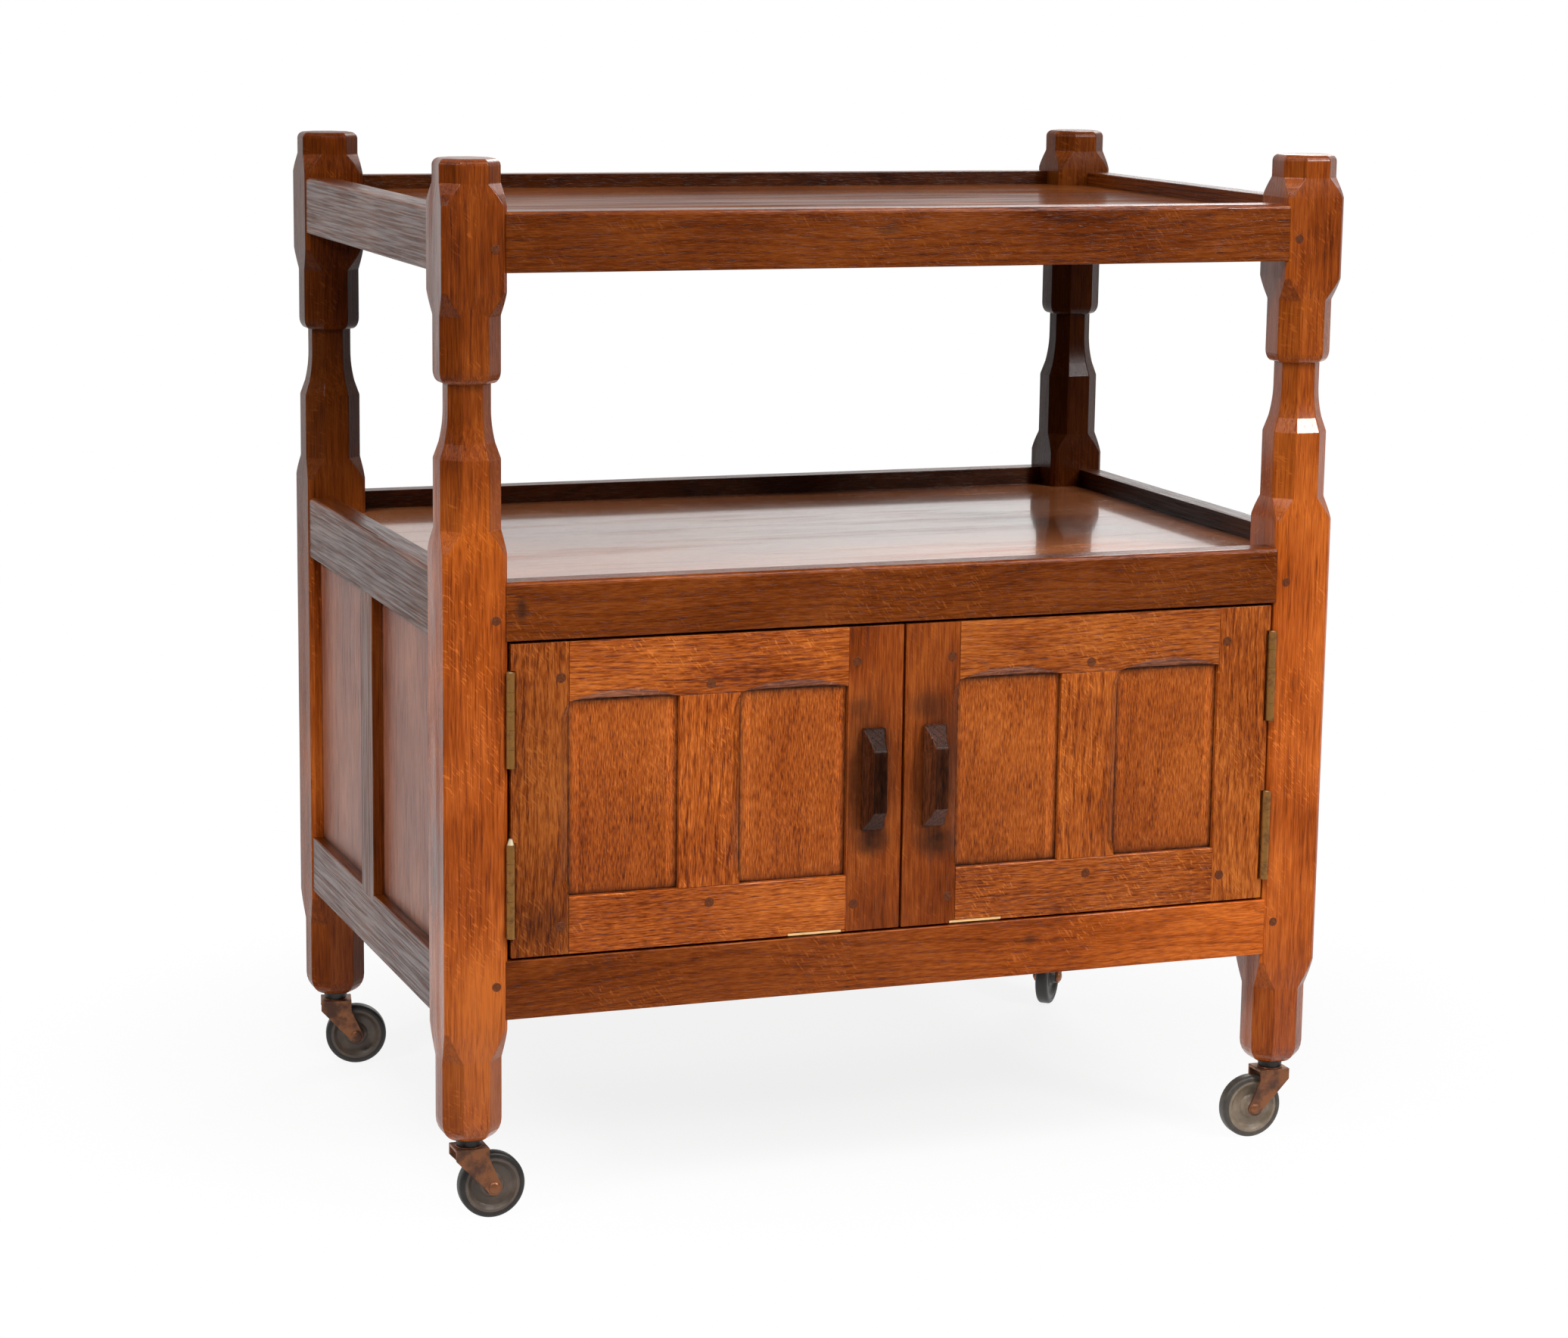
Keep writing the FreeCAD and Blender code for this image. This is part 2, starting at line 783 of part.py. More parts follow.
def catch_spring(offset):
    """The coil spring between the ball at the top of its travel and the barrel's cap."""
    low = ball_radius * 2 - ball_proud + ball_travel + spring_play + spring_wire
    high = barrel_length - barrel_cap - spring_wire
    helix = Part.makeHelix((high - low) / spring_turns, high - low, spring_radius)
    section = Part.Wire(Part.makeCircle(spring_wire, Vector(spring_radius, 0, 0), Vector(0, 1, 0)))
    spring = Part.Wire(helix.Edges).makePipeShell([section], True, True)
    spring.translate(barrel_place(offset) + Vector(0, 0, low))
    return spring


def pull():
    """The carved bar pull: a long bar with a lip, hollowed flanks, hipped ends and a flat ridge."""
    x = -pull_offset
    rings = [pull_ring(x, 0, pull_width, 0)]
    for step in range(round_steps + 1):
        share = step / round_steps
        height = pull_lip + (pull_projection - pull_lip) * share
        width = pull_ridge_width + (pull_width - pull_ridge_width) * (1 - share) ** 2
        rings.append(pull_ring(x, height, width, pull_end_slope * share))
    faces = [facet(list(reversed(rings[0]))), facet(rings[-1])]
    for back, front in zip(rings, rings[1:]):
        for i in range(len(back)):
            j = (i + 1) % len(back)
            faces.append(facet([back[i], back[j], front[j], front[i]]))
    return Part.makeSolid(Part.makeShell(faces))


def pull_ring(x, height, width, slope):
    """Four corners of the pull at one height off the door."""
    y = door_face_y - height
    low = pull_low + slope
    high = pull_low + pull_length - slope
    return [Vector(x - width / 2, y, low), Vector(x + width / 2, y, low),
            Vector(x + width / 2, y, high), Vector(x - width / 2, y, high)]


def door_pieces(bevel_side, catch_offset):
    """Every piece of a door by name; its openings are bevelled on one side only, given as 0 or 1."""
    bevels = []
    for x0, x1 in DOOR_FIELDS:
        bevels.append(side_bevel_cut(*((x0, -1), (x1, 1))[bevel_side]))
        bevels.append(arch_cut(x0, x1))
    top_rail = door_rail(opening_high, door_high, opening_high)
    bottom_rail = door_rail(door_low, opening_low, opening_low)
    rail_tenons = [door_tongue(stile_inner_hinge - door_tenon_length - mortise_spare,
                               stile_inner_lock + door_tenon_length + mortise_spare,
                               z0 + tenon_shoulder, z1 - tenon_shoulder)
                   for z0, z1 in ((opening_high, door_high), (door_low, opening_low))]
    groove = door_tongue(stile_inner_hinge - groove_depth, stile_inner_lock + groove_depth,
                         opening_low - groove_depth, opening_high + groove_depth)
    hinge_stile = door_box(door_hinge_x, stile_inner_hinge, door_low, door_high)
    lock_stile = door_box(stile_inner_lock, door_lock_x, door_low, door_high)
    muntin = joined([door_box(muntin_left, muntin_right, opening_low, opening_high),
                     door_tongue(muntin_left + tenon_shoulder, muntin_right - tenon_shoulder,
                                 opening_low - door_muntin_tenon, opening_high + door_muntin_tenon)])
    muntin_grooves = [door_tongue(x0, x1, opening_low, opening_high)
                      for x0, x1 in ((muntin_left - overrun, muntin_left + groove_depth),
                                     (muntin_right - groove_depth, muntin_right + overrun))]
    reach = groove_depth - panel_play
    field_panels = [door_tongue(x0 - reach, x1 + reach, opening_low - reach, opening_high + reach)
                    for x0, x1 in DOOR_FIELDS]
    wood_cuts = bevels + DOOR_PEG_HOLES
    stile_cuts = rail_tenons + [groove] + wood_cuts
    catch_cuts = barrel_cuts(catch_offset)
    screws = [leaf_screw("door", y, z, 0) for low in HINGE_LOWS for y, z in screw_places(low)]
    pieces = {
        "hinge_stile": hinge_stile.cut(near(stile_cuts + hinge_cuts("door"), hinge_stile)),
        "lock_stile": lock_stile.cut(near(stile_cuts + catch_cuts, lock_stile)),
        "top_rail": top_rail.cut(near(wood_cuts, top_rail)),
        "bottom_rail": bottom_rail.cut(near(DOOR_PEG_HOLES + catch_cuts, bottom_rail)),
        "muntin": muntin.cut(muntin_grooves + near(wood_cuts, muntin)),
        "panels": group(field_panels),
        "pegs": group([door_peg(place, door_peg_radius, 0) for place in door_peg_places()]),
        "pull": pull(),
        "hinge_leaves": group([hinge_leaf(low, "door") for low in HINGE_LOWS]),
        "hinge_screws": group(screws),
        "catch_barrel": group([catch_barrel(catch_offset), catch_spring(catch_offset)]),
        "catch_ball": catch_ball(catch_offset),
    }
    return pieces


# Castors, built with the stem on the Z axis, the foot's underside at foot_level and the trail along +X

axle_level = wheel_radius
crown_top = foot_level - socket_thickness - swivel_gap
web_top = crown_top - crown_rise
web_low = web_top - web_thickness


def castor_socket():
    """The black boss under the foot, its stem and the riveted head that carries the fork."""
    up = Vector(0, 0, 1)
    head_top = web_low - swivel_gap
    boss = Part.makeCone(socket_radius - socket_taper, socket_radius, socket_thickness,
                         Vector(0, 0, foot_level - socket_thickness), up)
    stem = cylinder(stem_radius, foot_level + stem_length - head_top, Vector(0, 0, head_top), up)
    head = Part.makeCone(stem_head_radius / 2, stem_head_radius, stem_head_thickness,
                         Vector(0, 0, head_top - stem_head_thickness), up)
    return joined([boss, stem, head])


def tangent_point(point, centre, radius, hand):
    """Where a line from a point touches a circle, in the plane of the cheeks."""
    dx = point[0] - centre[0]
    dz = point[1] - centre[1]
    distance = math.hypot(dx, dz)
    angle = math.atan2(dz, dx) + hand * math.acos(radius / distance)
    return centre[0] + radius * math.cos(angle), centre[1] + radius * math.sin(angle)


def cheek(y0):
    """One side plate of the fork, from the crown down to a round end at the axle."""
    centre = (castor_trail, axle_level)
    back = (-cheek_back, web_top - cheek_shoulder)
    ahead = (cheek_ahead, web_top - cheek_shoulder)
    back_touch = tangent_point(back, centre, cheek_end_radius, 1)
    ahead_touch = tangent_point(ahead, centre, cheek_end_radius, -1)
    low = (centre[0], centre[1] - cheek_end_radius)

    def place(point):
        return Vector(point[0], y0, point[1])

    corners = [back_touch, back, (-cheek_back, web_top), (cheek_ahead, web_top), ahead, ahead_touch]
    edges = [Part.LineSegment(place(a), place(b)).toShape() for a, b in zip(corners, corners[1:])]
    edges.append(Part.Arc(place(ahead_touch), place(low), place(back_touch)).toShape())
    return Part.Face(Part.Wire(edges)).extrude(Vector(0, cheek_thickness, 0))


def castor_fork():
    """Crown, web and two cheeks in one pressing."""
    half_gap = cheek_gap / 2
    outer = half_gap + cheek_thickness
    web = box(-cheek_back, cheek_ahead, -outer, outer, web_low, web_top)
    crown = Part.makeCone(crown_radius, crown_radius - crown_rise / 2, crown_rise,
                          Vector(0, 0, web_top), Vector(0, 0, 1))
    body = joined([web, crown, cheek(-outer), cheek(half_gap)])
    bore = cylinder(stem_radius + axle_play, crown_rise + web_thickness + 2 * overrun,
                    Vector(0, 0, web_low - overrun), Vector(0, 0, 1))
    axle_hole = cylinder(axle_radius + peg_play, 2 * outer + 2 * overrun,
                         Vector(castor_trail, -outer - overrun, axle_level), Vector(0, 1, 0))
    return body.cut([bore, axle_hole])


def castor_axle():
    """The rivet that the wheel turns on, with a domed head outside each cheek."""
    outer = cheek_gap / 2 + cheek_thickness
    shank = cylinder(axle_radius, 2 * outer, Vector(castor_trail, -outer, axle_level), Vector(0, 1, 0))
    dome_radius = (rivet_head_radius ** 2 + rivet_head_height ** 2) / (2 * rivet_head_height)
    heads = []
    for hand in (-1, 1):
        start = Vector(castor_trail, hand * outer, axle_level)
        ball = Part.makeSphere(dome_radius, start + Vector(0, hand * (rivet_head_height - dome_radius), 0))
        slab = cylinder(dome_radius, dome_radius, start, Vector(0, hand, 0))
        heads.append(ball.common(slab))
    return joined([shank] + heads)


def revolved(points):
    """A turned piece about the wheel's axis, from (distance from the middle plane, radius) points."""
    corners = [Vector(castor_trail, y, axle_level + radius) for y, radius in points]
    profile = facet(corners)
    return profile.revolve(Vector(castor_trail, 0, axle_level), Vector(0, 1, 0), 360)


def castor_tyre():
    """The tyre: a ring with rounded shoulders."""
    half = tyre_width / 2
    inner = wheel_radius - tyre_depth
    y_flat = half - tyre_round
    r_flat = wheel_radius - tyre_round
    bend = tyre_round * math.sqrt(0.5)

    def place(y, radius):
        return Vector(castor_trail, y, axle_level + radius)

    def shoulder(hand):
        return Part.Arc(place(hand * half, r_flat), place(hand * (y_flat + bend), r_flat + bend),
                        place(hand * y_flat, wheel_radius)).toShape()

    def side(start, end):
        return Part.LineSegment(place(*start), place(*end)).toShape()

    edges = [side((-half, inner), (-half, r_flat)), shoulder(-1),
             side((-y_flat, wheel_radius), (y_flat, wheel_radius)), shoulder(1),
             side((half, r_flat), (half, inner)), side((half, inner), (-half, inner))]
    return Part.Face(Part.Wire(edges)).revolve(Vector(castor_trail, 0, axle_level), Vector(0, 1, 0), 360)


def castor_disc():
    """The wheel's centre: a long hub, a dished web and a raised rim for the tyre, bored for the axle."""
    bore = axle_radius + axle_play
    rim = wheel_radius - tyre_depth
    rim_half = tyre_width / 2 - rim_inset
    half = [(hub_width / 2, bore), (hub_width / 2, hub_radius), (hub_step, hub_flare),
            (disc_web / 2, disc_web_inner), (disc_web / 2, disc_web_outer),
            (rim_half, rim - rim_flange), (rim_half, rim)]
    other = [(-y, radius) for y, radius in reversed(half)]
    return revolved(half + other)


def on_corner(shape, corner):
    """Turn a castor piece to its heading and set it under its post."""
    depth_side, hand_side = corner.split("_")
    x = (half_width - post_side / 2) * (-1 if hand_side == "left" else 1)
    y = front_y + post_side / 2 if depth_side == "front" else back_y - post_side / 2
    placed = shape.copy()
    placed.rotate(Vector(0, 0, 0), Vector(0, 0, 1), castor_headings[corner])
    placed.translate(Vector(x, y, 0))
    return placed


def build_carcase():
    for depth_side in ("front", "back"):
        for hand_side in ("left", "right"):
            name = depth_side + "_" + hand_side
            save("post_" + name, post(name))
    strike_beds = [strike_block(left_catch_offset), mirror_x(strike_block(right_catch_offset))]
    for level in ("bottom", "middle", "top"):
        rails = {}
        for side in SIDES:
            shape = rail(level, side)
            cuts = near(PEG_HOLES, shape)
            if side == "front" and level == "bottom":
                cuts = cuts + strike_beds
            rails[side] = shape.cut(cuts) if cuts else shape
        save(level + "_rail_front", rails["front"])
        save(level + "_rail_back", rails["back"])
        save(level + "_side_rails", group([rails["left"], rails["right"]]))
    corner_play = board_play * math.sqrt(2)
    save("top_tray_board", board("top", corner_play))
    save("middle_shelf_board", board("middle", corner_play))
    save("cupboard_floor", board("bottom", corner_play))
    counts = (("left", side_muntin_count), ("right", side_muntin_count), ("back", back_muntin_count))
    save("carcase_muntins", group([piece for side, count in counts for piece in muntins(side, count)]))
    save("carcase_panels", group([piece for side, count in counts for piece in panels(side, count)]))
    save("frame_pegs", group([peg(place, peg_radius, 0) for place in peg_places()]))
    strikes = [strike_plate(left_catch_offset), mirror_x(strike_plate(right_catch_offset))]
    save("strike_plates", group(strikes))


def build_hinges():
    leaves = [hinge_leaf(low, "post") for low in HINGE_LOWS]
    pins = [hinge_pin(low) for low in HINGE_LOWS]
    screws = [leaf_screw("post", y, z, 0) for low in HINGE_LOWS for y, z in screw_places(low)]
    save("hinge_frame_leaves", group(leaves + [mirror_x(leaf) for leaf in leaves]))
    save("hinge_pins", group([tipped_pin(hinge_lower_low), hinge_pin(hinge_upper_low)]
                             + [mirror_x(pin) for pin in pins]))
    save("hinge_frame_screws", group(screws + [mirror_x(screw) for screw in screws]))


def build_doors():
    for name, shape in door_pieces(0, left_catch_offset).items():
        save("left_door_" + name, shape)
    for name, shape in door_pieces(1, right_catch_offset).items():
        save("right_door_" + name, group([mirror_x(shape)]))


def build_castors():
    socket = castor_socket()
    fork = group([castor_fork(), castor_axle()])
    tyre = castor_tyre()
    disc = castor_disc()
    save("castor_sockets", group([on_corner(socket, corner) for corner in castor_headings]))
    for corner in castor_headings:
        save("castor_fork_" + corner, on_corner(fork, corner))
        save("castor_disc_" + corner, on_corner(disc, corner))
        save("castor_tyre_" + corner, on_corner(tyre, corner))


os.makedirs("parts", exist_ok=True)
build_carcase()
build_hinges()
build_doors()
build_castors()
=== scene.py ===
"""The oak serving trolley, dressed: carved posts, railed trays, panelled doors, brass hinges, swivel castors."""
from __future__ import annotations

import json
import logging
import math
from dataclasses import dataclass, replace
from enum import Enum
from typing import Any, Callable, ClassVar, Iterable, Sequence

import bmesh
import bpy
from mathutils import Matrix, Vector, noise


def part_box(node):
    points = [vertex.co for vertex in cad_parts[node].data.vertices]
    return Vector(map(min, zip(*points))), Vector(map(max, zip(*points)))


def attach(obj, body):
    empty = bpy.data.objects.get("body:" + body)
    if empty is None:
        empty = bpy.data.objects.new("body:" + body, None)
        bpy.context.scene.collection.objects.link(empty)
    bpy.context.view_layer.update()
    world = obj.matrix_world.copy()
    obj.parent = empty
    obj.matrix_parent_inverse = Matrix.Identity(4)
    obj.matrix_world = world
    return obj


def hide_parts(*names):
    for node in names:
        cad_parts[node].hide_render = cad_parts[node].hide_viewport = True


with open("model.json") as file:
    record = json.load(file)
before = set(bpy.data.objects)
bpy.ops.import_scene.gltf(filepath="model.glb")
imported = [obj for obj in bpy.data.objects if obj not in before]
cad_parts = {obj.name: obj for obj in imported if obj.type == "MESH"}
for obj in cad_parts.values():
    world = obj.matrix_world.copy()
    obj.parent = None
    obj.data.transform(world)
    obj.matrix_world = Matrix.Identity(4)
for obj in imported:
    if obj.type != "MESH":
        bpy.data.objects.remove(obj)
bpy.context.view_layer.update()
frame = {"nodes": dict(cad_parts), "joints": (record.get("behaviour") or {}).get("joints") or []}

LOG = logging.getLogger("trolley")
Triple = tuple[float, float, float]
Section = list[Vector]
MuckAndShade = Callable[[Vector], float]
Paints = dict[str, bpy.types.Material]

MERGE = 0.00001
FACET_ANGLE = math.radians(3.0)
SMOOTH_ANGLE = math.radians(35.0)
SLANT = math.sqrt(0.5)
SPOT_EDGE = (0.15, 1.0)
SEED_SHIFT = 0.731
WAVE_SHIFTS = (3.7, 1.9, 1.3)
PEG_SIDES = 10


# Shader writing.


class Shade:
    """A number inside a shader; Python's operators on it add Math nodes."""

    def __init__(self, recipe: Recipe, socket: bpy.types.NodeSocket) -> None:
        """Wrap an output socket of a recipe's node tree."""
        self.recipe = recipe
        self.socket = socket

    def math(self, operation: str, *values: Shade | float) -> Shade:
        """Add a Math node on the given values."""
        node = self.recipe.add("ShaderNodeMath", {"operation": operation}, dict(enumerate(values)))
        return Shade(self.recipe, node.outputs[0])

    def __add__(self, other: Shade | float) -> Shade:
        """Sum."""
        return self.math("ADD", self, other)

    def __radd__(self, other: float) -> Shade:
        """Sum with a plain number on the left."""
        return self.math("ADD", other, self)

    def __sub__(self, other: Shade | float) -> Shade:
        """Difference."""
        return self.math("SUBTRACT", self, other)

    def __rsub__(self, other: float) -> Shade:
        """Difference with a plain number on the left."""
        return self.math("SUBTRACT", other, self)

    def __mul__(self, other: Shade | float) -> Shade:
        """Product."""
        return self.math("MULTIPLY", self, other)

    def __rmul__(self, other: float) -> Shade:
        """Product with a plain number on the left."""
        return self.math("MULTIPLY", other, self)

    def __pow__(self, other: float) -> Shade:
        """Power."""
        return self.math("POWER", self, other)

    def sine(self) -> Shade:
        """Sine of the value in radians."""
        return self.math("SINE", self)

    def greater_of(self, other: Shade | float) -> Shade:
        """The larger of two values."""
        return self.math("MAXIMUM", self, other)


class Recipe:
    """Writes the nodes of one material or of the world."""

    def __init__(self, tree: bpy.types.NodeTree) -> None:
        """Take an empty or default node tree."""
        self.tree = tree

    def fill(self, node: bpy.types.Node, sockets: dict[int | str, Any]) -> None:
        """Set or link a node's inputs.

        Args:
            node: The node to fill.
            sockets: Values or links for its inputs, by name or index; a colour has three numbers.
        """
        for key, value in sockets.items():
            entry = node.inputs[key]
            if isinstance(value, Shade):
                value = value.socket
            if isinstance(value, bpy.types.NodeSocket):
                self.tree.links.new(value, entry)
            else:
                entry.default_value = (*value, 1.0) if entry.type == "RGBA" else value

    def add(self, kind: str, settings: dict[str, Any] | None = None,
            sockets: dict[int | str, Any] | None = None) -> bpy.types.Node:
        """Add any node.

        Args:
            kind: The node's type name.
            settings: Its properties, set first; "stops" gives a ramp's (place, colour) pairs.
            sockets: Values or links for its inputs, by name or index.

        Returns:
            The new node.
        """
        node = self.tree.nodes.new(kind)
        for key, value in (settings or {}).items():
            if key == "stops":
                self._set_stops(node.color_ramp, value)
            else:
                setattr(node, key, value)
        self.fill(node, sockets or {})
        return node

    @staticmethod
    def _set_stops(ramp: bpy.types.ColorRamp, stops: Sequence[tuple[float, Triple]]) -> None:
        """Give a colour ramp its stops.

        Args:
            ramp: The ramp to set.
            stops: Its places and colours.
        """
        while len(ramp.elements) < len(stops):
            ramp.elements.new(1.0)
        for element, (place, colour) in zip(ramp.elements, stops):
            element.position = place
            element.color = (*colour, 1.0)

    def attribute(self, name: str, output: str = "Fac") -> Shade:
        """One of the attributes that the pieces carry."""
        return Shade(self, self.add("ShaderNodeAttribute", {"attribute_name": name}).outputs[output])

    def object_point(self) -> bpy.types.NodeSocket:
        """The surface point in the trolley's own frame."""
        return self.add("ShaderNodeTexCoord").outputs["Object"]

    def axes(self, vector: Shade | bpy.types.NodeSocket) -> tuple[Shade, ...]:
        """Split a vector into its three numbers."""
        node = self.add("ShaderNodeSeparateXYZ", None, {0: vector})
        return tuple(Shade(self, output) for output in node.outputs)

    def point(self, x: Shade | float, y: Shade | float, z: Shade | float) -> bpy.types.NodeSocket:
        """Join three numbers into a vector."""
        return self.add("ShaderNodeCombineXYZ", None, {0: x, 1: y, 2: z}).outputs[0]

    def vectors(self, operation: str, *values: Any) -> bpy.types.Node:
        """Add a Vector Math node on vectors."""
        return self.add("ShaderNodeVectorMath", {"operation": operation}, dict(enumerate(values)))

    def away(self, here: bpy.types.NodeSocket, centre: Triple, reach: Triple) -> Shade:
        """How far a point is from a centre, measured in reaches.

        Args:
            here: The point.
            centre: Where the distance is 0.
            reach: How far along each axis the distance is 1.

        Returns:
            The distance.
        """
        offset = self.vectors("SUBTRACT", here, centre).outputs[0]
        scaled = self.vectors("DIVIDE", offset, reach).outputs[0]
        return Shade(self, self.vectors("LENGTH", scaled).outputs["Value"])

    def noise(self, vector: bpy.types.NodeSocket, scale: float, detail: float = 2.0,
              roughness: float = 0.5) -> Shade:
        """Smooth random values from 0 to 1, in cells of 1 / scale."""
        sockets = {"Vector": vector, "Scale": scale, "Detail": detail, "Roughness": roughness}
        return Shade(self, self.add("ShaderNodeTexNoise", None, sockets).outputs[0])

    def ease(self, value: Shade, low: float, high: float) -> Shade:
        """Ramp a value smoothly from 0 at low to 1 at high."""
        sockets = {0: value, 1: low, 2: high, 3: 0.0, 4: 1.0}
        return Shade(self, self.add("ShaderNodeMapRange", {"interpolation_type": "SMOOTHSTEP"},
                                    sockets).outputs[0])

    def blend(self, share: Shade, first: Any, second: Any) -> bpy.types.NodeSocket:
        """Mix two colours; the share is how much of the second shows."""
        return self.add("ShaderNodeMix", {"data_type": "RGBA"}, {0: share, 6: first, 7: second}).outputs[2]

    def mix(self, share: Any, first: bpy.types.NodeSocket, second: bpy.types.NodeSocket) -> bpy.types.NodeSocket:
        """Mix two shaders; the share is how much of the second shows."""
        return self.add("ShaderNodeMixShader", None, {0: share, 1: first, 2: second}).outputs[0]

    def glow(self, strength: float) -> bpy.types.NodeSocket:
        """White light of its own."""
        return self.add("ShaderNodeEmission", None, {"Strength": strength}).outputs[0]

    def bump(self, height: Shade, distance: float) -> bpy.types.NodeSocket:
        """Turn a height into a bent normal."""
        return self.add("ShaderNodeBump", None, {"Distance": distance, "Height": height}).outputs[0]


def new_material(name: str) -> tuple[bpy.types.Material, Recipe, bpy.types.Node]:
    """Start a material.

    Args:
        name: The material's name.

    Returns:
        The material, its recipe and its surface shader.
    """
    material = bpy.data.materials.new(name)
    material.use_nodes = True
    return material, Recipe(material.node_tree), material.node_tree.nodes["Principled BSDF"]


# Finishes.


@dataclass(frozen=True)
class Spot:
    """A knot, stain or handled place: an ellipsoid in the trolley's frame, in metres."""

    centre: Triple
    reach: Triple
    strength: float


@dataclass(frozen=True)
class Oak:
    """Fumed and waxed oak: fibre streaks, growth rings, open pores, ray flecks, patches, muck and dark spots, with
    painted shade in seams, painted light and shade by facing, and a painted sheen.
    """

    name: str
    dark: Triple = (0.13, 0.020, 0.002)
    body: Triple = (0.39, 0.074, 0.007)
    light: Triple = (0.68, 0.165, 0.022)
    # The dark colour blended in for muck, stains and handled places, and for the painted shade in seams and along
    # rails.
    muck_and_shade_tint: Triple = (0.030, 0.010, 0.004)
    ramp_places: Triple = (0.12, 0.52, 0.95)
    base_shade: float = 0.60
    roughness: float = 0.24
    wipe_rise: float = 0.16
    pore_rise: float = 0.1
    muck_and_shade_roughness: float = 0.12
    specular: float = 0.30
    coat: float = 0.0
    coat_roughness: float = 0.1
    coat_width: float = 0.038
    coat_stretch: float = 0.12
    wear: tuple[float, float] = (0.30, 0.56)
    streak_width: float = 0.0010
    streak_length: float = 0.010
    fibre_width: float = 0.0026
    fibre_stretch: float = 0.02
    ring_width: float = 0.0040
    ring_sweep: float = 0.03
    ring_warp: float = 0.012
    ring_edge: tuple[float, float] = (0.1, 0.95)
    pore_shift: float = 3.0
    pore_scale: float = 1.35
    pore_stretch: float = 0.7
    pore_edge: tuple[float, float] = (0.56, 0.68)
    pore_in_late: float = 0.4
    fleck_lean: tuple[float, float, float, float] = (1.2, 0.8, 0.6, 0.5)
    fleck_pace: Triple = (520.0, 105.0, 120.0)
    fleck_edge: tuple[float, float] = (0.60, 0.70)
    field_edge: tuple[float, float] = (0.46, 0.60)
    patch_shift: float = 7.0
    warp_scale: float = 12.0
    warp_stretch: float = 0.2
    sweep_scale: float = 4.0
    field_scale: float = 21.0
    cloud_scale: float = 24.0
    cloud_stretch: float = 0.4
    patch_scale: float = 9.0
    patch_stretch: float = 0.6
    wipe_scale: float = 17.0
    muck_and_shade_scale: float = 150.0
    muck_and_shade_gain: float = 0.9
    muck_and_shade_base: float = 0.55
    streak_relief: float = 0.5
    fibre_relief: float = 0.4
    pore_relief: float = 0.7
    streak_strength: float = 1.15
    fibre_strength: float = 0.35
    ring_strength: float = 0.12
    pore_strength: float = 0.24
    ray_strength: float = 0.36
    cloud_strength: float = 0.75
    patch_strength: float = 0.7
    bump_depth: float = 0.00022
    spots: tuple[Spot, ...] = ()

    def build(self) -> bpy.types.Material:
        """Write the material.

        Returns:
            The finished material.
        """
        material, recipe, shader = new_material(self.name)
        u, v, w = recipe.axes(recipe.attribute("grain", "Vector"))
        tone = recipe.attribute("tone")
        muck_and_shade = recipe.attribute("muck_and_shade")
        warp = recipe.noise(recipe.point(u, v, w * self.warp_stretch), self.warp_scale, 3.0) - 0.5
        sweep = recipe.noise(recipe.point(u, v, w), self.sweep_scale, 1.0) - 0.5
        radius = (u * u + v * v) ** 0.5 + warp * self.ring_warp + sweep * self.ring_sweep
        early = recipe.ease((radius * (math.tau / self.ring_width)).sine(), *self.ring_edge)
        squeeze = self.streak_width / self.streak_length
        streak = recipe.noise(recipe.point(u, v, w * squeeze), 1.0 / self.streak_width, 2.0, 0.6)
        pore_point = recipe.point(u + self.pore_shift, v, w * squeeze * self.pore_stretch)
        pore = recipe.noise(pore_point, self.pore_scale / self.streak_width, 1.0)
        pores = recipe.ease(pore, *self.pore_edge) * (early * (1.0 - self.pore_in_late) + self.pore_in_late)
        fibre = recipe.noise(recipe.point(u, v, w * self.fibre_stretch), 1.0 / self.fibre_width, 3.0, 0.6)
        lean, pace = self.fleck_lean, self.fleck_pace
        slanted = recipe.point((w + u * lean[0] + v * lean[1]) * pace[0], (u - w * lean[2]) * pace[1],
                               (v - w * lean[3]) * pace[2])
        flecks = recipe.noise(slanted, 1.0, 1.0)
        field = recipe.noise(recipe.point(u, v, w * self.patch_stretch), self.field_scale, 2.0)
        rays = recipe.ease(flecks, *self.fleck_edge) * recipe.ease(field, *self.field_edge)
        cloud = recipe.noise(recipe.point(u, v, w * self.cloud_stretch), self.cloud_scale, 4.0, 0.6)
        patch_point = recipe.point(u + self.patch_shift, v, w * self.patch_stretch)
        patch = recipe.noise(patch_point, self.patch_scale, 2.0)
        shade = (
            (streak - 0.5) * self.streak_strength + (fibre - 0.5) * self.fibre_strength
            + (cloud - 0.5) * self.cloud_strength + (patch - 0.5) * self.patch_strength
            - early * self.ring_strength - pores * self.pore_strength + rays * self.ray_strength + self.base_shade
        )
        stops = tuple(zip(self.ramp_places, (self.dark, self.body, self.light)))
        colour = recipe.add("ShaderNodeValToRGB", {"stops": stops}, {0: shade}).outputs[0]
        # Painted reflection: a face's painted sheen greys its colour; the tone's value carries painted light and
        # shade as well as the piece's own tone.
        fade = recipe.attribute("fade")
        sockets = {"Saturation": 1.0 - fade, "Value": tone, "Color": colour}
        toned = recipe.add("ShaderNodeHueSaturation", None, sockets).outputs[0]
        here = recipe.object_point()
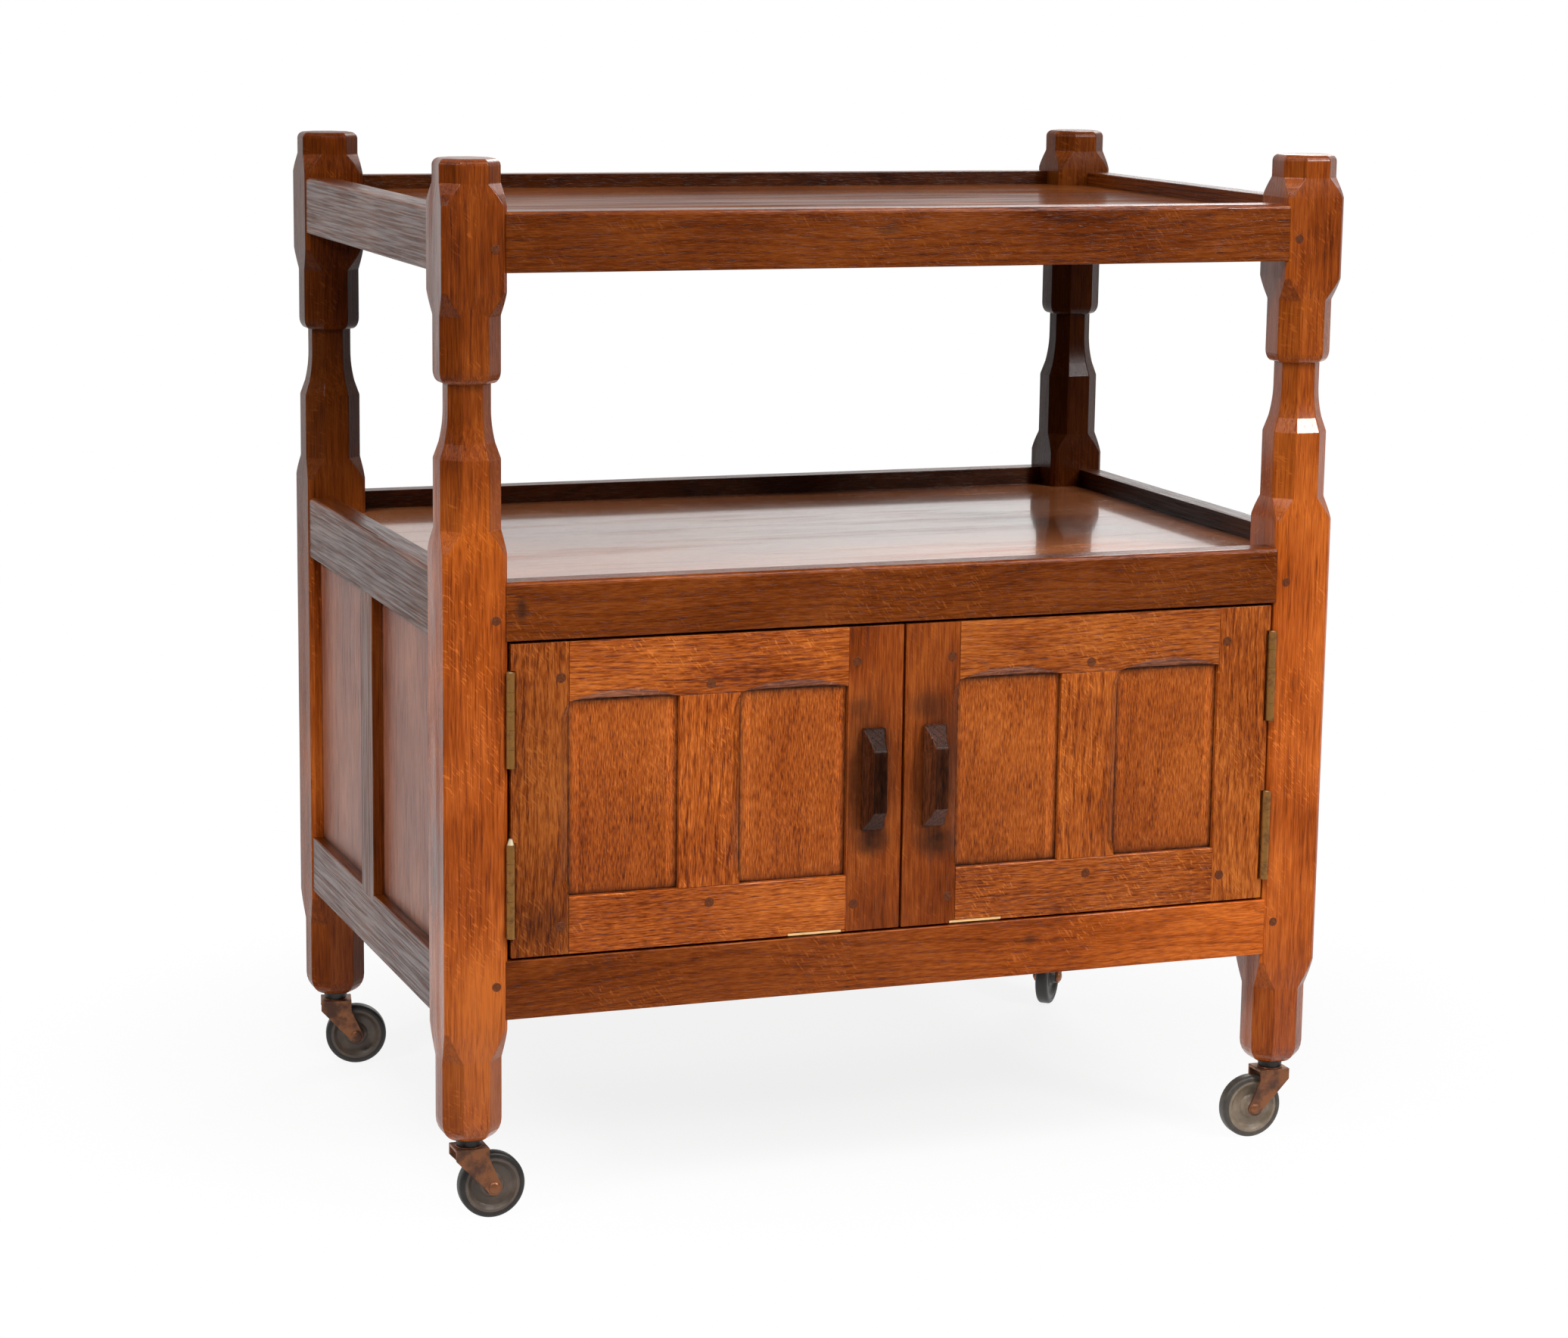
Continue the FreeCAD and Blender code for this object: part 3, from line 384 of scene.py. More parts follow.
        # Muck and painted shade from the pieces' attribute, with the dark spots on top.
        muck_and_shade_mask = muck_and_shade
        for spot in self.spots:
            mask = 1.0 - recipe.ease(recipe.away(here, spot.centre, spot.reach), *SPOT_EDGE)
            muck_and_shade_mask = muck_and_shade_mask.greater_of(mask * spot.strength)
        muck_and_shade_mask = muck_and_shade_mask * (recipe.noise(here, self.muck_and_shade_scale, 3.0, 0.6) * self.muck_and_shade_gain + self.muck_and_shade_base)
        wipe = recipe.noise(here, self.wipe_scale, 3.0)
        recipe.fill(shader, {
            "Base Color": recipe.blend(muck_and_shade_mask, toned, self.muck_and_shade_tint),
            "Roughness": wipe * self.wipe_rise + (self.roughness - self.wipe_rise / 2) + pores * self.pore_rise
            + muck_and_shade_mask * self.muck_and_shade_roughness,
            "Specular IOR Level": self.specular,
            "Normal": recipe.bump(streak * self.streak_relief + fibre * self.fibre_relief
                                  - pores * self.pore_relief, self.bump_depth),
        })
        if self.coat:
            wear = recipe.noise(recipe.point(u, v, w * self.coat_stretch), 1.0 / self.coat_width, 4.0, 0.62)
            polish = recipe.attribute("polish")
            recipe.fill(shader, {
                "Coat Weight": recipe.ease(wear, *self.wear) * polish * self.coat,
                "Coat Roughness": self.coat_roughness,
            })
        return material


@dataclass(frozen=True)
class Metal:
    """A metal part with a duller second colour in blotches, fine scratches and muck."""

    name: str
    bright: Triple
    dull: Triple
    metallic: float = 1.0
    roughness: float = 0.35
    dull_share: float = 0.5
    blotch: float = 140.0
    blotch_edge: tuple[float, float] = (0.62, 0.86)
    blotch_reach: float = 0.4
    grit: float = 1900.0
    grit_rise: float = 0.12
    dull_rise: float = 0.28
    dull_loss: float = 0.35
    scratch: float = 0.00005

    def build(self) -> bpy.types.Material:
        """Write the material.

        Returns:
            The finished material.
        """
        material, recipe, shader = new_material(self.name)
        here = recipe.object_point()
        blotches = recipe.noise(here, self.blotch, 4.0, 0.62)
        shift = self.dull_share * self.blotch_reach
        mask = recipe.ease(blotches, self.blotch_edge[0] - shift, self.blotch_edge[1] - shift)
        grit = recipe.noise(here, self.grit, 2.0)
        recipe.fill(shader, {
            "Base Color": recipe.blend(mask, self.bright, self.dull),
            "Metallic": self.metallic * (1.0 - mask * self.dull_loss),
            "Roughness": mask * self.dull_rise + grit * self.grit_rise + (self.roughness - self.grit_rise / 2),
            "Normal": recipe.bump(grit + blotches * 0.6, self.scratch),
        })
        return material


@dataclass(frozen=True)
class Rubber:
    """A matt moulded part with dust on it."""

    name: str
    body: Triple
    dust: Triple
    dust_share: float = 0.35
    roughness: float = 0.55
    cloud: float = 95.0
    cloud_edge: tuple[float, float] = (0.40, 0.75)
    cloud_rise: float = 0.25
    cloud_base: float = 0.1
    pits: float = 1300.0
    grain: float = 0.00008

    def build(self) -> bpy.types.Material:
        """Write the material.

        Returns:
            The finished material.
        """
        material, recipe, shader = new_material(self.name)
        here = recipe.object_point()
        cloud = recipe.noise(here, self.cloud, 4.0, 0.6)
        pits = recipe.noise(here, self.pits, 2.0)
        mask = recipe.ease(cloud, *self.cloud_edge) * self.dust_share
        recipe.fill(shader, {
            "Base Color": recipe.blend(mask, self.body, self.dust),
            "Roughness": cloud * self.cloud_rise + (self.roughness - self.cloud_base),
            "Normal": recipe.bump(pits + cloud * 0.5, self.grain),
        })
        return material


POST_OAK = Oak(
    "oak_post_waxed", streak_length=0.022, streak_strength=0.85, fibre_strength=0.5, ring_strength=0.05,
    pore_strength=0.2, cloud_strength=0.95, patch_strength=0.9, specular=0.1, coat=0.72, coat_roughness=0.2,
    spots=(
        Spot((-0.333, -0.2515, 0.822), (0.013, 0.014, 0.022), 0.8),
        Spot((-0.375, -0.2515, 0.820), (0.012, 0.014, 0.020), 0.55),
    ))
HANDLED_SPOTS = (
    Spot((-0.031, -0.24, 0.345), (0.032, 0.02, 0.085), 0.7),
    Spot((0.031, -0.24, 0.345), (0.032, 0.02, 0.085), 0.65),
    Spot((-0.026, -0.24, 0.290), (0.022, 0.02, 0.020), 0.85),
    Spot((0.030, -0.24, 0.286), (0.024, 0.02, 0.022), 0.85),
    Spot((0.022, -0.24, 0.398), (0.024, 0.02, 0.020), 0.6),
    Spot((-0.036, -0.24, 0.398), (0.020, 0.02, 0.018), 0.5),
    Spot((-0.30, -0.24, 0.245), (0.03, 0.02, 0.03), 0.3),
)
FINISHES: dict[str, Oak | Metal | Rubber] = {
    "post": POST_OAK,
    "back_post": replace(POST_OAK, name="oak_post_dull", specular=0.05, coat=0.2, coat_roughness=0.24, spots=()),
    "frame": Oak("oak_frame_waxed", body=(0.39, 0.074, 0.006), streak_strength=1.0, specular=0.22, spots=(
        Spot((-0.318, -0.24, 0.492), (0.007, 0.01, 0.014), 0.7),
        Spot((0.115, -0.24, 0.197), (0.009, 0.01, 0.006), 0.65),
        Spot((-0.02, -0.24, 0.778), (0.016, 0.01, 0.006), 0.5),
    )),
    "side": Oak("oak_side_weathered", roughness=0.32, specular=0.08, coat=0.78, coat_roughness=0.2,
                coat_width=0.0016, coat_stretch=0.02, wear=(0.34, 0.68), streak_length=0.04, bump_depth=0.0003),
    "door": Oak("oak_door_waxed", body=(0.38, 0.080, 0.009), light=(0.67, 0.185, 0.028), streak_strength=1.45,
                pore_strength=0.3, spots=HANDLED_SPOTS),
    "stile": Oak("oak_stile_handled", body=(0.37, 0.070, 0.008), streak_length=0.02, streak_strength=0.9,
                 ring_strength=0.05, pore_strength=0.16, ray_strength=0.2, cloud_strength=0.95,
                 spots=HANDLED_SPOTS),
    "panel": Oak("oak_panel_waxed", body=(0.365, 0.074, 0.008), light=(0.62, 0.165, 0.026), streak_length=0.0075,
                 streak_strength=1.7, fibre_strength=0.3, ring_strength=0.04, ray_strength=0.2,
                 cloud_strength=0.5, patch_strength=0.6),
    "side_panel": Oak("oak_side_panel_waxed", roughness=0.34, specular=0.3, coat=0.28, coat_roughness=0.25,
                      coat_width=0.0016, coat_stretch=0.03, streak_length=0.03, streak_strength=1.3,
                      fibre_strength=0.6, ray_strength=0.1, ring_strength=0.04, bump_depth=0.0003),
    "tray": Oak("oak_tray_worn", dark=(0.05, 0.013, 0.004), body=(0.14, 0.035, 0.008), light=(0.24, 0.075, 0.02),
                roughness=0.3, specular=0.0, coat=0.66, coat_roughness=0.14, wear=(0.2, 0.76), bump_depth=0.0001),
    "shelf": Oak("oak_shelf_polished", dark=(0.24, 0.065, 0.02), body=(0.48, 0.145, 0.045),
                 light=(0.66, 0.25, 0.10), roughness=0.15, specular=0.22, coat=0.82, coat_roughness=0.07,
                 wear=(0.16, 0.52), bump_depth=0.00004),
    "pull": Oak("oak_pull_handled", dark=(0.015, 0.005, 0.003), body=(0.045, 0.013, 0.006),
                light=(0.12, 0.034, 0.012), roughness=0.24, specular=0.12),
    "peg": Oak("oak_peg_ends", dark=(0.05, 0.014, 0.005), body=(0.13, 0.033, 0.010), light=(0.2, 0.06, 0.02)),
    "brass": Metal("brass_aged", (0.42, 0.20, 0.05), (0.20, 0.085, 0.022), 0.55, 0.36, 0.4),
    # The pins' pale colour is a painted highlight.
    "pin": Metal("brass_pins_painted_highlight", (0.95, 0.82, 0.56), (0.7, 0.5, 0.25), 0.4, 0.25, 0.1),
    # The face plates' pale, nearly matt colour is a painted highlight.
    "plate": Metal("brass_plates_painted_highlight", (0.98, 0.60, 0.27), (0.75, 0.38, 0.12), 0.1, 0.3, 0.15),
    "screw": Metal("brass_screws", (0.40, 0.27, 0.10), (0.10, 0.06, 0.03), 0.9, 0.4),
    "ball": Metal("steel_ball", (0.6, 0.6, 0.58), (0.3, 0.3, 0.28), 1.0, 0.2, 0.1),
    "fork": Metal("fork_plating", (0.29, 0.11, 0.046), (0.10, 0.044, 0.027), 0.6, 0.36, 0.5, 60.0),
    "boss": Rubber("boss_black", (0.012, 0.011, 0.010), (0.06, 0.05, 0.045), 0.3, 0.4),
    "tyre": Rubber("tyre_rubber", (0.016, 0.013, 0.011), (0.06, 0.05, 0.042), 0.35, 0.42),
    "disc": Rubber("disc_grey_brown", (0.10, 0.072, 0.054), (0.19, 0.14, 0.105), 0.5, 0.36),
    "pale_tyre": Rubber("tyre_rubber_dusty", (0.055, 0.045, 0.036), (0.15, 0.125, 0.095), 0.4, 0.42),
    "pale_disc": Rubber("disc_olive_grey", (0.20, 0.15, 0.105), (0.40, 0.31, 0.22), 0.5, 0.34),
    # The back right castor's near-black disc is painted shade.
    "shaded_disc": Rubber("disc_painted_shade", (0.020, 0.016, 0.013), (0.06, 0.05, 0.04), 0.3, 0.42),
}
KEPT_NODES = {"leaves": "brass", "strike_plates": "brass", "catch_barrel": "plate", "hinge_pins": "pin",
              "screws": "screw", "catch_ball": "ball", "castor_sockets": "boss"}
# The back right castor gets the disc that is painted shade.
CASTOR_PAINTS = {"front_left": ("tyre", "disc"), "front_right": ("pale_tyre", "pale_disc"),
                 "back_left": ("tyre", "disc"), "back_right": ("tyre", "shaded_disc")}


# Woodwork.


class Axis(Enum):
    """The three directions of the trolley's frame."""

    X = 0
    Y = 1
    Z = 2


@dataclass(frozen=True)
class Facing:
    """Painted light or shade, painted sheen and polish for those faces of a piece that look one way."""

    way: Triple
    tone: float
    fade: float = 0.0
    polish: float = 1.0


# Painted shade: faces that look down get a darker tone.
SHADED_UNDERSIDE = Facing((0.0, 0.0, -1.0), 0.55)
# Layers of each piece: the grain frame, muck and painted shade, tone with painted light and shade, painted sheen,
# and polish.
LAYERS = {"grain": ("FLOAT_VECTOR", "POINT"), "muck_and_shade": ("FLOAT", "POINT"), "tone": ("FLOAT", "CORNER"),
          "fade": ("FLOAT", "CORNER"), "polish": ("FLOAT", "CORNER")}


@dataclass(frozen=True)
class Grain:
    """How a piece was sawn: its long axis and where the tree's heart lay; how light it is from end to end; and its
    facings, which paint light and shade on faces by the way they look.
    """

    axis: Axis
    heart: tuple[float, float]
    seed: int
    tones: tuple[float, ...] = (1.0,)
    facings: tuple[Facing, ...] = (SHADED_UNDERSIDE,)
    worn: float = 1.35
    worn_width: float = 0.0055
    facing_limit: float = 0.42

    def tone_at(self, share: float) -> float:
        """How light the piece is at a place.

        Args:
            share: The place, as a share of its length.

        Returns:
            Its tone there.
        """
        place = min(max(share, 0.0), 1.0) * (len(self.tones) - 1)
        first = min(int(place), len(self.tones) - 1)
        after = min(first + 1, len(self.tones) - 1)
        return self.tones[first] + (self.tones[after] - self.tones[first]) * (place - first)

    def lay(self, mesh: bpy.types.Mesh, muck_and_shade: MuckAndShade | None) -> None:
        """Write the attributes that the oak finish reads.

        Args:
            mesh: The piece's mesh, in place.
            muck_and_shade: How much muck and painted shade a point gets, from 0 to 1, or None for none.
        """
        long = self.axis.value
        runs = [vert.co[long] for vert in mesh.vertices]
        start, length = min(runs), max(runs) - min(runs)
        middle = sum((vert.co for vert in mesh.vertices), Vector()) / len(mesh.vertices)
        for name, (kind, domain) in LAYERS.items():
            mesh.attributes.new(name, kind, domain)
        grain, muck_and_shade_tint, tone, fade, polish = (mesh.attributes[name].data for name in LAYERS)
        for index, vert in enumerate(mesh.vertices):
            place = list(vert.co - middle)
            along = place.pop(long)
            grain[index].vector = (place[0] - self.heart[0], place[1] - self.heart[1],
                                   along + SEED_SHIFT * self.seed)
            muck_and_shade_tint[index].value = muck_and_shade(vert.co) if muck_and_shade else 0.0
        for face in mesh.polygons:
            worn = self.worn if face.area < self.worn_width * self._run(mesh, face) else 1.0
            painted_sheen_share, polished = 0.0, 1.0
            for facing in self.facings:
                if face.normal.dot(Vector(facing.way)) > self.facing_limit:
                    # Painted light and shade: a face that looks one of the facings' ways takes its tone, painted
                    # sheen and polish, on top of any wear.
                    worn *= facing.tone
                    painted_sheen_share = max(painted_sheen_share, facing.fade)
                    polished *= facing.polish
            for corner in face.loop_indices:
                run = mesh.vertices[mesh.loops[corner].vertex_index].co[long]
                tone[corner].value = worn * self.tone_at((run - start) / length)
                fade[corner].value = painted_sheen_share
                polish[corner].value = polished

    def _run(self, mesh: bpy.types.Mesh, face: bpy.types.MeshPolygon) -> float:
        """How far a face runs along the grain."""
        runs = [mesh.vertices[index].co[self.axis.value] for index in face.vertices]
        return max(runs) - min(runs)


@dataclass(frozen=True)
class Place:
    """Where a piece belongs: its body, the nodes that it stands for, and a slot name."""

    body: str
    nodes: tuple[str, ...]
    slot: str


@dataclass(frozen=True)
class Arris:
    """How far a piece's edges are rounded over."""

    width: float = 0.0008
    segments: int = 2
    limit: float = math.radians(14.0)


PEG_ARRIS = Arris(0.0004, 2)


def draw_out(sections: Sequence[Section]) -> bmesh.types.BMesh:
    """Draw a bar through its sections, one after another.

    Args:
        sections: Outlines with the same number of corners.

    Returns:
        A closed mesh.
    """
    bm = bmesh.new()
    end = bm.faces.new([bm.verts.new(corner) for corner in sections[0]])
    for number, section in enumerate(sections[1:]):
        grown = bmesh.ops.extrude_face_region(bm, geom=[end])["geom"]
        if number:
            bmesh.ops.delete(bm, geom=[end], context="FACES_ONLY")
        end = next(item for item in grown if isinstance(item, bmesh.types.BMFace))
        for vert, corner in zip(end.verts, section):
            vert.co = corner
    bmesh.ops.recalc_face_normals(bm, faces=bm.faces)
    return bm


def on_axis(axis: Axis, along: float, across: float, up: float) -> Vector:
    """A point from its place along an axis and its two other coordinates, in their order."""
    return Vector((across, up)[:axis.value] + (along,) + (across, up)[axis.value:])


def stations(low: float, high: float, step: float) -> list[float]:
    """Evenly spaced places from low to high, at most a step apart."""
    count = max(1, math.ceil((high - low) / step))
    return [low + (high - low) * index / count for index in range(count + 1)]


def quarter_turns(steps: int) -> list[float]:
    """Angles from 0 to a quarter turn."""
    return [math.pi / 2 * step / steps for step in range(steps + 1)]


def planed(sections: Sequence[Section], seed: int, depth: float = 0.0003, pace: float = 13.0) -> list[Section]:
    """Move each corner a little towards its section's middle, as a hand plane leaves it.

    Args:
        sections: The bar's outlines.
        seed: Picks the pattern.
        depth: The most that a corner moves.
        pace: Waves in a metre.

    Returns:
        New outlines.
    """
    shaped = []
    for section in sections:
        middle = sum(section, Vector()) / len(section)
        corners = []
        for index, corner in enumerate(section):
            shift = Vector((seed * WAVE_SHIFTS[0], index * WAVE_SHIFTS[1], seed * WAVE_SHIFTS[2]))
            wave = noise.noise(corner * pace + shift)
            corners.append(corner + (middle - corner).normalized() * depth * (0.5 + 0.5 * wave))
        shaped.append(corners)
    return shaped


def make_piece(bm: bmesh.types.BMesh, name: str, place: Place, material: bpy.types.Material,
               arris: Arris | None, grain: Grain | None = None, muck_and_shade: MuckAndShade | None = None) -> None:
    """Turn a finished bmesh into a piece that rides on its body.

    Args:
        bm: The mesh, in place; it is freed.
        name: The piece's name.
        place: Its body, nodes and slot.
        material: Its finish.
        arris: How its edges are rounded, or None.
        grain: How it was sawn, for wood.
        muck_and_shade: How much muck and painted shade each point gets.
    """
    limit = arris.limit if arris else SMOOTH_ANGLE
    for face in bm.faces:
        face.smooth = True
    for edge in bm.edges:
        angle = edge.calc_face_angle(0.0) if len(edge.link_faces) == 2 else 0.0
        edge.smooth = not FACET_ANGLE < angle < limit if arris else angle < limit
    mesh = bpy.data.meshes.new(name)
    bm.to_mesh(mesh)
    bm.free()
    mesh.materials.append(material)
    if grain:
        grain.lay(mesh, muck_and_shade)
    piece = bpy.data.objects.new(name, mesh)
    bpy.context.scene.collection.objects.link(piece)
    if arris:
        bevel = piece.modifiers.new("arris", "BEVEL")
        bevel.width = arris.width
        bevel.segments = arris.segments
        bevel.limit_method = "ANGLE"
        bevel.angle_limit = arris.limit
        bevel.harden_normals = True
        bevel.miter_outer = "MITER_ARC"
    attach(piece, place.body)
    if place.nodes:
        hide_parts(*place.nodes)
    LOG.info("made %s on %s", name, place.body)


def add_peg(bm: bmesh.types.BMesh, tip: Vector, outward: float, radius: float, depth: float) -> None:
    """Add a whittled peg end to a mesh.

    Args:
        bm: The mesh to add to.
        tip: The middle of its visible end.
        outward: -1 if the end faces the front, 1 if it faces the back.
        radius: Its radius.
        depth: How far it goes into the wood.
    """
    turn = Matrix.Rotation(math.pi / 2, 4, "X")
    place = Matrix.Translation(tip - Vector((0.0, outward * depth / 2, 0.0)))
    bmesh.ops.create_cone(bm, cap_ends=True, segments=PEG_SIDES, radius1=radius, radius2=radius, depth=depth,
                          matrix=place @ turn)


@dataclass
class CarvedPost:
    """One post, carved from the square: octagonal foot, stops, waist, flare, neck, cup and head."""

    corner: str
    seed: int
    side: float = 0.0515
    arris: float = 0.0035
    octagon: float = 0.0485
    chamfer: float = 0.0135
    foot_round: float = 0.0135
    foot_round_rise: float = 0.017
    flare_side: float = 0.0405
    neck_side: float = 0.0345
    cup_side: float = 0.0375
    head_round: float = 0.0055
    foot_stops: tuple[float, float] = (0.067, 0.092)
    waist_stop_shares: tuple[float, float] = (0.068, 0.146)
    flare_shares: Triple = (0.382, 0.4345, 0.548)
    cup_shares: tuple[float, float, float, float] = (0.633, 0.675, 0.858, 0.937)
    head_drops: tuple[float, float] = (0.0345, 0.0185)
    round_steps: int = 6
    step: float = 0.03
    hollow: float = 0.35
    rounding: Arris = Arris(0.0009, 2)
    heart_depth: float = 0.05
    heart_step: float = 0.01
    facing_limit: float = 0.85
    hearts: ClassVar[dict[str, float]] = {"left": 0.075, "right": -0.07}
    # Tones from foot to head. The back posts are dark as painted shade under the top tray; the front posts are
    # darker towards the foot and the head.
    tones: ClassVar[dict[str, tuple[float, ...]]] = {
        "front_left": (0.72, 0.82, 0.95, 0.95, 0.95, 0.84, 0.48, 0.46, 0.48),
        "front_right": (0.85, 0.95, 1.05, 1.05, 1.03, 0.9, 0.7, 0.60, 0.56),
        "back_left": (0.55, 0.6, 0.7, 0.6, 0.5, 0.25, 0.16, 0.2, 0.3),
        "back_right": (0.3, 0.3, 0.3, 0.3, 0.25, 0.12, 0.08, 0.1, 0.3),
    }
    # Painted shade: undersides, left faces and chamfers are darker; polish sets how much coat each of them gets.
    facings: ClassVar[tuple[Facing, ...]] = (
        SHADED_UNDERSIDE, Facing((-1.0, 0.0, 0.0), 0.8, 0.0, 1.25),
        Facing((-SLANT, -SLANT, 0.0), 0.8, 0.0, 0.15), Facing((SLANT, -SLANT, 0.0), 0.75, 0.0, 0.2),
        Facing((-SLANT, SLANT, 0.0), 0.8, 0.0, 0.3), Facing((SLANT, SLANT, 0.0), 0.8, 0.0, 0.3),
    )

    def rings(self, height: float) -> list[Triple]:
        """The carved rings, from the foot up.

        Args:
            height: The post's own height.

        Returns:
            (height, width across flats, chamfer leg) of each ring.
        """
        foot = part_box("post_" + self.corner)[0].z
        open_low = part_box("middle_side_rails")[1].z - foot
        open_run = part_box("top_side_rails")[0].z - foot - open_low
        waist_low, waist_high = (open_low + open_run * part for part in self.waist_stop_shares)
        flare_low, flare_high, neck_low = (open_low + open_run * part for part in self.flare_shares)
        neck_top, cup_top, cup_low, cup_high = (open_low + open_run * part for part in self.cup_shares)
        share = self.chamfer / self.octagon
        turns = quarter_turns(self.round_steps)

        def ring(level: float, side: float) -> Triple:
            """A ring whose chamfers keep the octagon's proportion."""
            return level, side, side * share

        rings = [ring(self.foot_round_rise * (1 - math.cos(turn)),
                      self.octagon - 2 * self.foot_round * (1 - math.sin(turn))) for turn in turns]
        rings += self._stop(*self.foot_stops)
        rings += reversed(self._stop(waist_high, waist_low))
        rings.append((flare_low, self.octagon, self.chamfer))
        for part in stations(0.0, 1.0, 1.0 / self.round_steps):
            side = self.neck_side + (self.flare_side - self.neck_side) * (1 - part) ** 2
            rings.append(ring(flare_high + (neck_low - flare_high) * part, side))
        rings.append(ring(neck_top, self.neck_side))
        rings += [ring(cup_top - (cup_top - neck_top) * math.cos(turn),
                       self.cup_side + (self.octagon - self.cup_side) * math.sin(turn)) for turn in turns]
        rings += self._stop(cup_low, cup_high)
        rings += reversed(self._stop(height - self.head_drops[1], height - self.head_drops[0]))
        rings += [ring(height - self.head_round * (1 - math.sin(turn)),
                       self.octagon - 2 * self.head_round * (1 - math.cos(turn))) for turn in turns]
        return rings

    def _stop(self, cut: float, square: float) -> list[Triple]:
        """Rings of a hollowed stop.

        Args:
            cut: The level at which the chamfers are at their full width.
            square: The level at which the post is square again.

        Returns:
            (height, width across flats, chamfer leg) of each ring, from the cut to the square.
        """
        rings = []
        for step in range(self.round_steps + 1):
            part = step / self.round_steps
            bend = part + (math.sin(math.pi / 2 * part) - part) * self.hollow
            rings.append((cut + (square - cut) * part, self.octagon + (self.side - self.octagon) * bend,
                          self.chamfer + (self.arris - self.chamfer) * bend))
        return rings

    def sections(self) -> list[Section]:
        """The rings as outlines in place, with more of them along the straight runs.

        Returns:
            The outlines, from the foot up.
        """
        low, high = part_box("post_" + self.corner)
        centre_x, centre_y = (low.x + high.x) / 2, (low.y + high.y) / 2
        rings = self.rings(high.z - low.z)
        outlines = []
        for ring, after in zip(rings, rings[1:] + rings[-1:]):
            for part in stations(0.0, 1.0, self.step / max(after[0] - ring[0], self.step))[:-1]:
                level, side, leg = (first + (second - first) * part for first, second in zip(ring, after))
                half, flat = side / 2, side / 2 - leg
                outlines.append([
                    Vector((centre_x + x, centre_y + y, low.z + level))
                    for x, y in ((half, -flat), (half, flat), (flat, half), (-flat, half),
                                 (-half, flat), (-half, -flat), (-flat, -half), (flat, -half))])
        return outlines

    def build(self, material: bpy.types.Material) -> None:
        """Carve the post.

        Args:
            material: Its finish.
        """
        heart = (self.hearts[self.corner.split("_")[1]], self.heart_depth + self.heart_step * self.seed)
        grain = Grain(Axis.Z, heart, self.seed, self.tones[self.corner], self.facings,
                      facing_limit=self.facing_limit)
        make_piece(draw_out(planed(self.sections(), self.seed)), "carved_post_" + self.corner,
                   Place("carcase", ("post_" + self.corner,), "oak_frame"), material, self.rounding, grain)


@dataclass
class Rail:
    """A rail between two posts, with its outer upper edge rounded over."""

    name: str
    node: str
    axis: Axis
    low: Vector
    high: Vector
    rounded: float
    outward: float
    grain: Grain
    round_steps: int = 4
    step: float = 0.035
    wave: float = 0.00035
    rounding: Arris = Arris(0.0008, 2, math.radians(30.0))

    def outline(self) -> list[tuple[float, float]]:
        """The section's corners, starting at the inner lower one.

        Returns:
            Places across the rail and up it.
        """
        cross = 1 if self.axis is Axis.X else 0
        inner, outer = self.low[cross], self.high[cross]
        if self.outward < 0:
            inner, outer = outer, inner
        corners = [(inner, self.low.z), (outer, self.low.z)]
        corners += [(outer - self.outward * self.rounded * (1 - math.cos(turn)),
                     self.high.z - self.rounded * (1 - math.sin(turn)))
                    for turn in quarter_turns(self.round_steps)]
        return corners + [(inner, self.high.z)]

    def build(self, material: bpy.types.Material) -> None:
        """Plane the rail.

        Args:
            material: Its finish.
        """
        long = self.axis.value
        sections = [[on_axis(self.axis, along, across, up) for across, up in self.outline()]
                    for along in stations(self.low[long], self.high[long], self.step)]
        make_piece(draw_out(planed(sections, self.grain.seed, self.wave)), self.name,
                   Place("carcase", (self.node,), "oak_frame"), material, self.rounding, self.grain)


@dataclass
class PanelSlab:
    """A flat panel in its grooves, with finer divisions along its edges for the muck and painted shade there."""

    axis: Axis
    near: float
    far: float
    start: float
    end: float
    low: float
    high: float
    groove: float = 0.006
    tuck_share: float = 0.8
    rows: tuple[float, ...] = (0.0, 0.0015, 0.004, 0.009, 0.018)
    seam_muck_and_shade: float = 0.8
    seam_reach: float = 0.0018
    haze_muck_and_shade: float = 0.14
    haze_reach: float = 0.012
    corner_muck_and_shade: float = 0.4
    corner_reach: float = 0.014

    def _divisions(self, start: float, end: float) -> list[float]:
        """Places across the panel, close together at both edges."""
        tuck, near = self.groove * self.tuck_share, [start + row for row in self.rows]
        return [start - tuck] + near + [end - row for row in reversed(self.rows)] + [end + tuck]

    def build(self, name: str, place: Place, material: bpy.types.Material, grain: Grain) -> None:
        """Make the panel.

        Args:
            name: The piece's name.
            place: Its body, nodes and slot.
            material: Its finish.
            grain: How it was sawn.
        """
        across = self._divisions(self.start, self.end)
        outline = [(spot, self.near) for spot in across] + [(spot, self.far) for spot in reversed(across)]
        sections = [[on_axis(self.axis, spot, depth, level) for spot, depth in outline]
                    for level in self._divisions(self.low, self.high)]
        long = self.axis.value

        def muck_and_shade(point: Vector) -> float:
            """Muck and painted shade in the seam, fading inwards, with more of it in the lower corners.

            Args:
                point: A point of the panel.

            Returns:
                How much muck and painted shade it gets.
            """
            beside = max(min(point[long] - self.start, self.end - point[long]), 0.0)
            above = max(point.z - self.low, 0.0)
            gap = min(beside, above, max(self.high - point.z, 0.0))
            # Painted shade where the frame shades the recessed panel, together with muck in the seam.
            return (self.seam_muck_and_shade * math.exp(-gap / self.seam_reach)
                    + self.haze_muck_and_shade * math.exp(-gap / self.haze_reach)
                    + self.corner_muck_and_shade * math.exp(-(beside + above) / self.corner_reach))

        make_piece(draw_out(sections), name, place, material, None, grain, muck_and_shade)


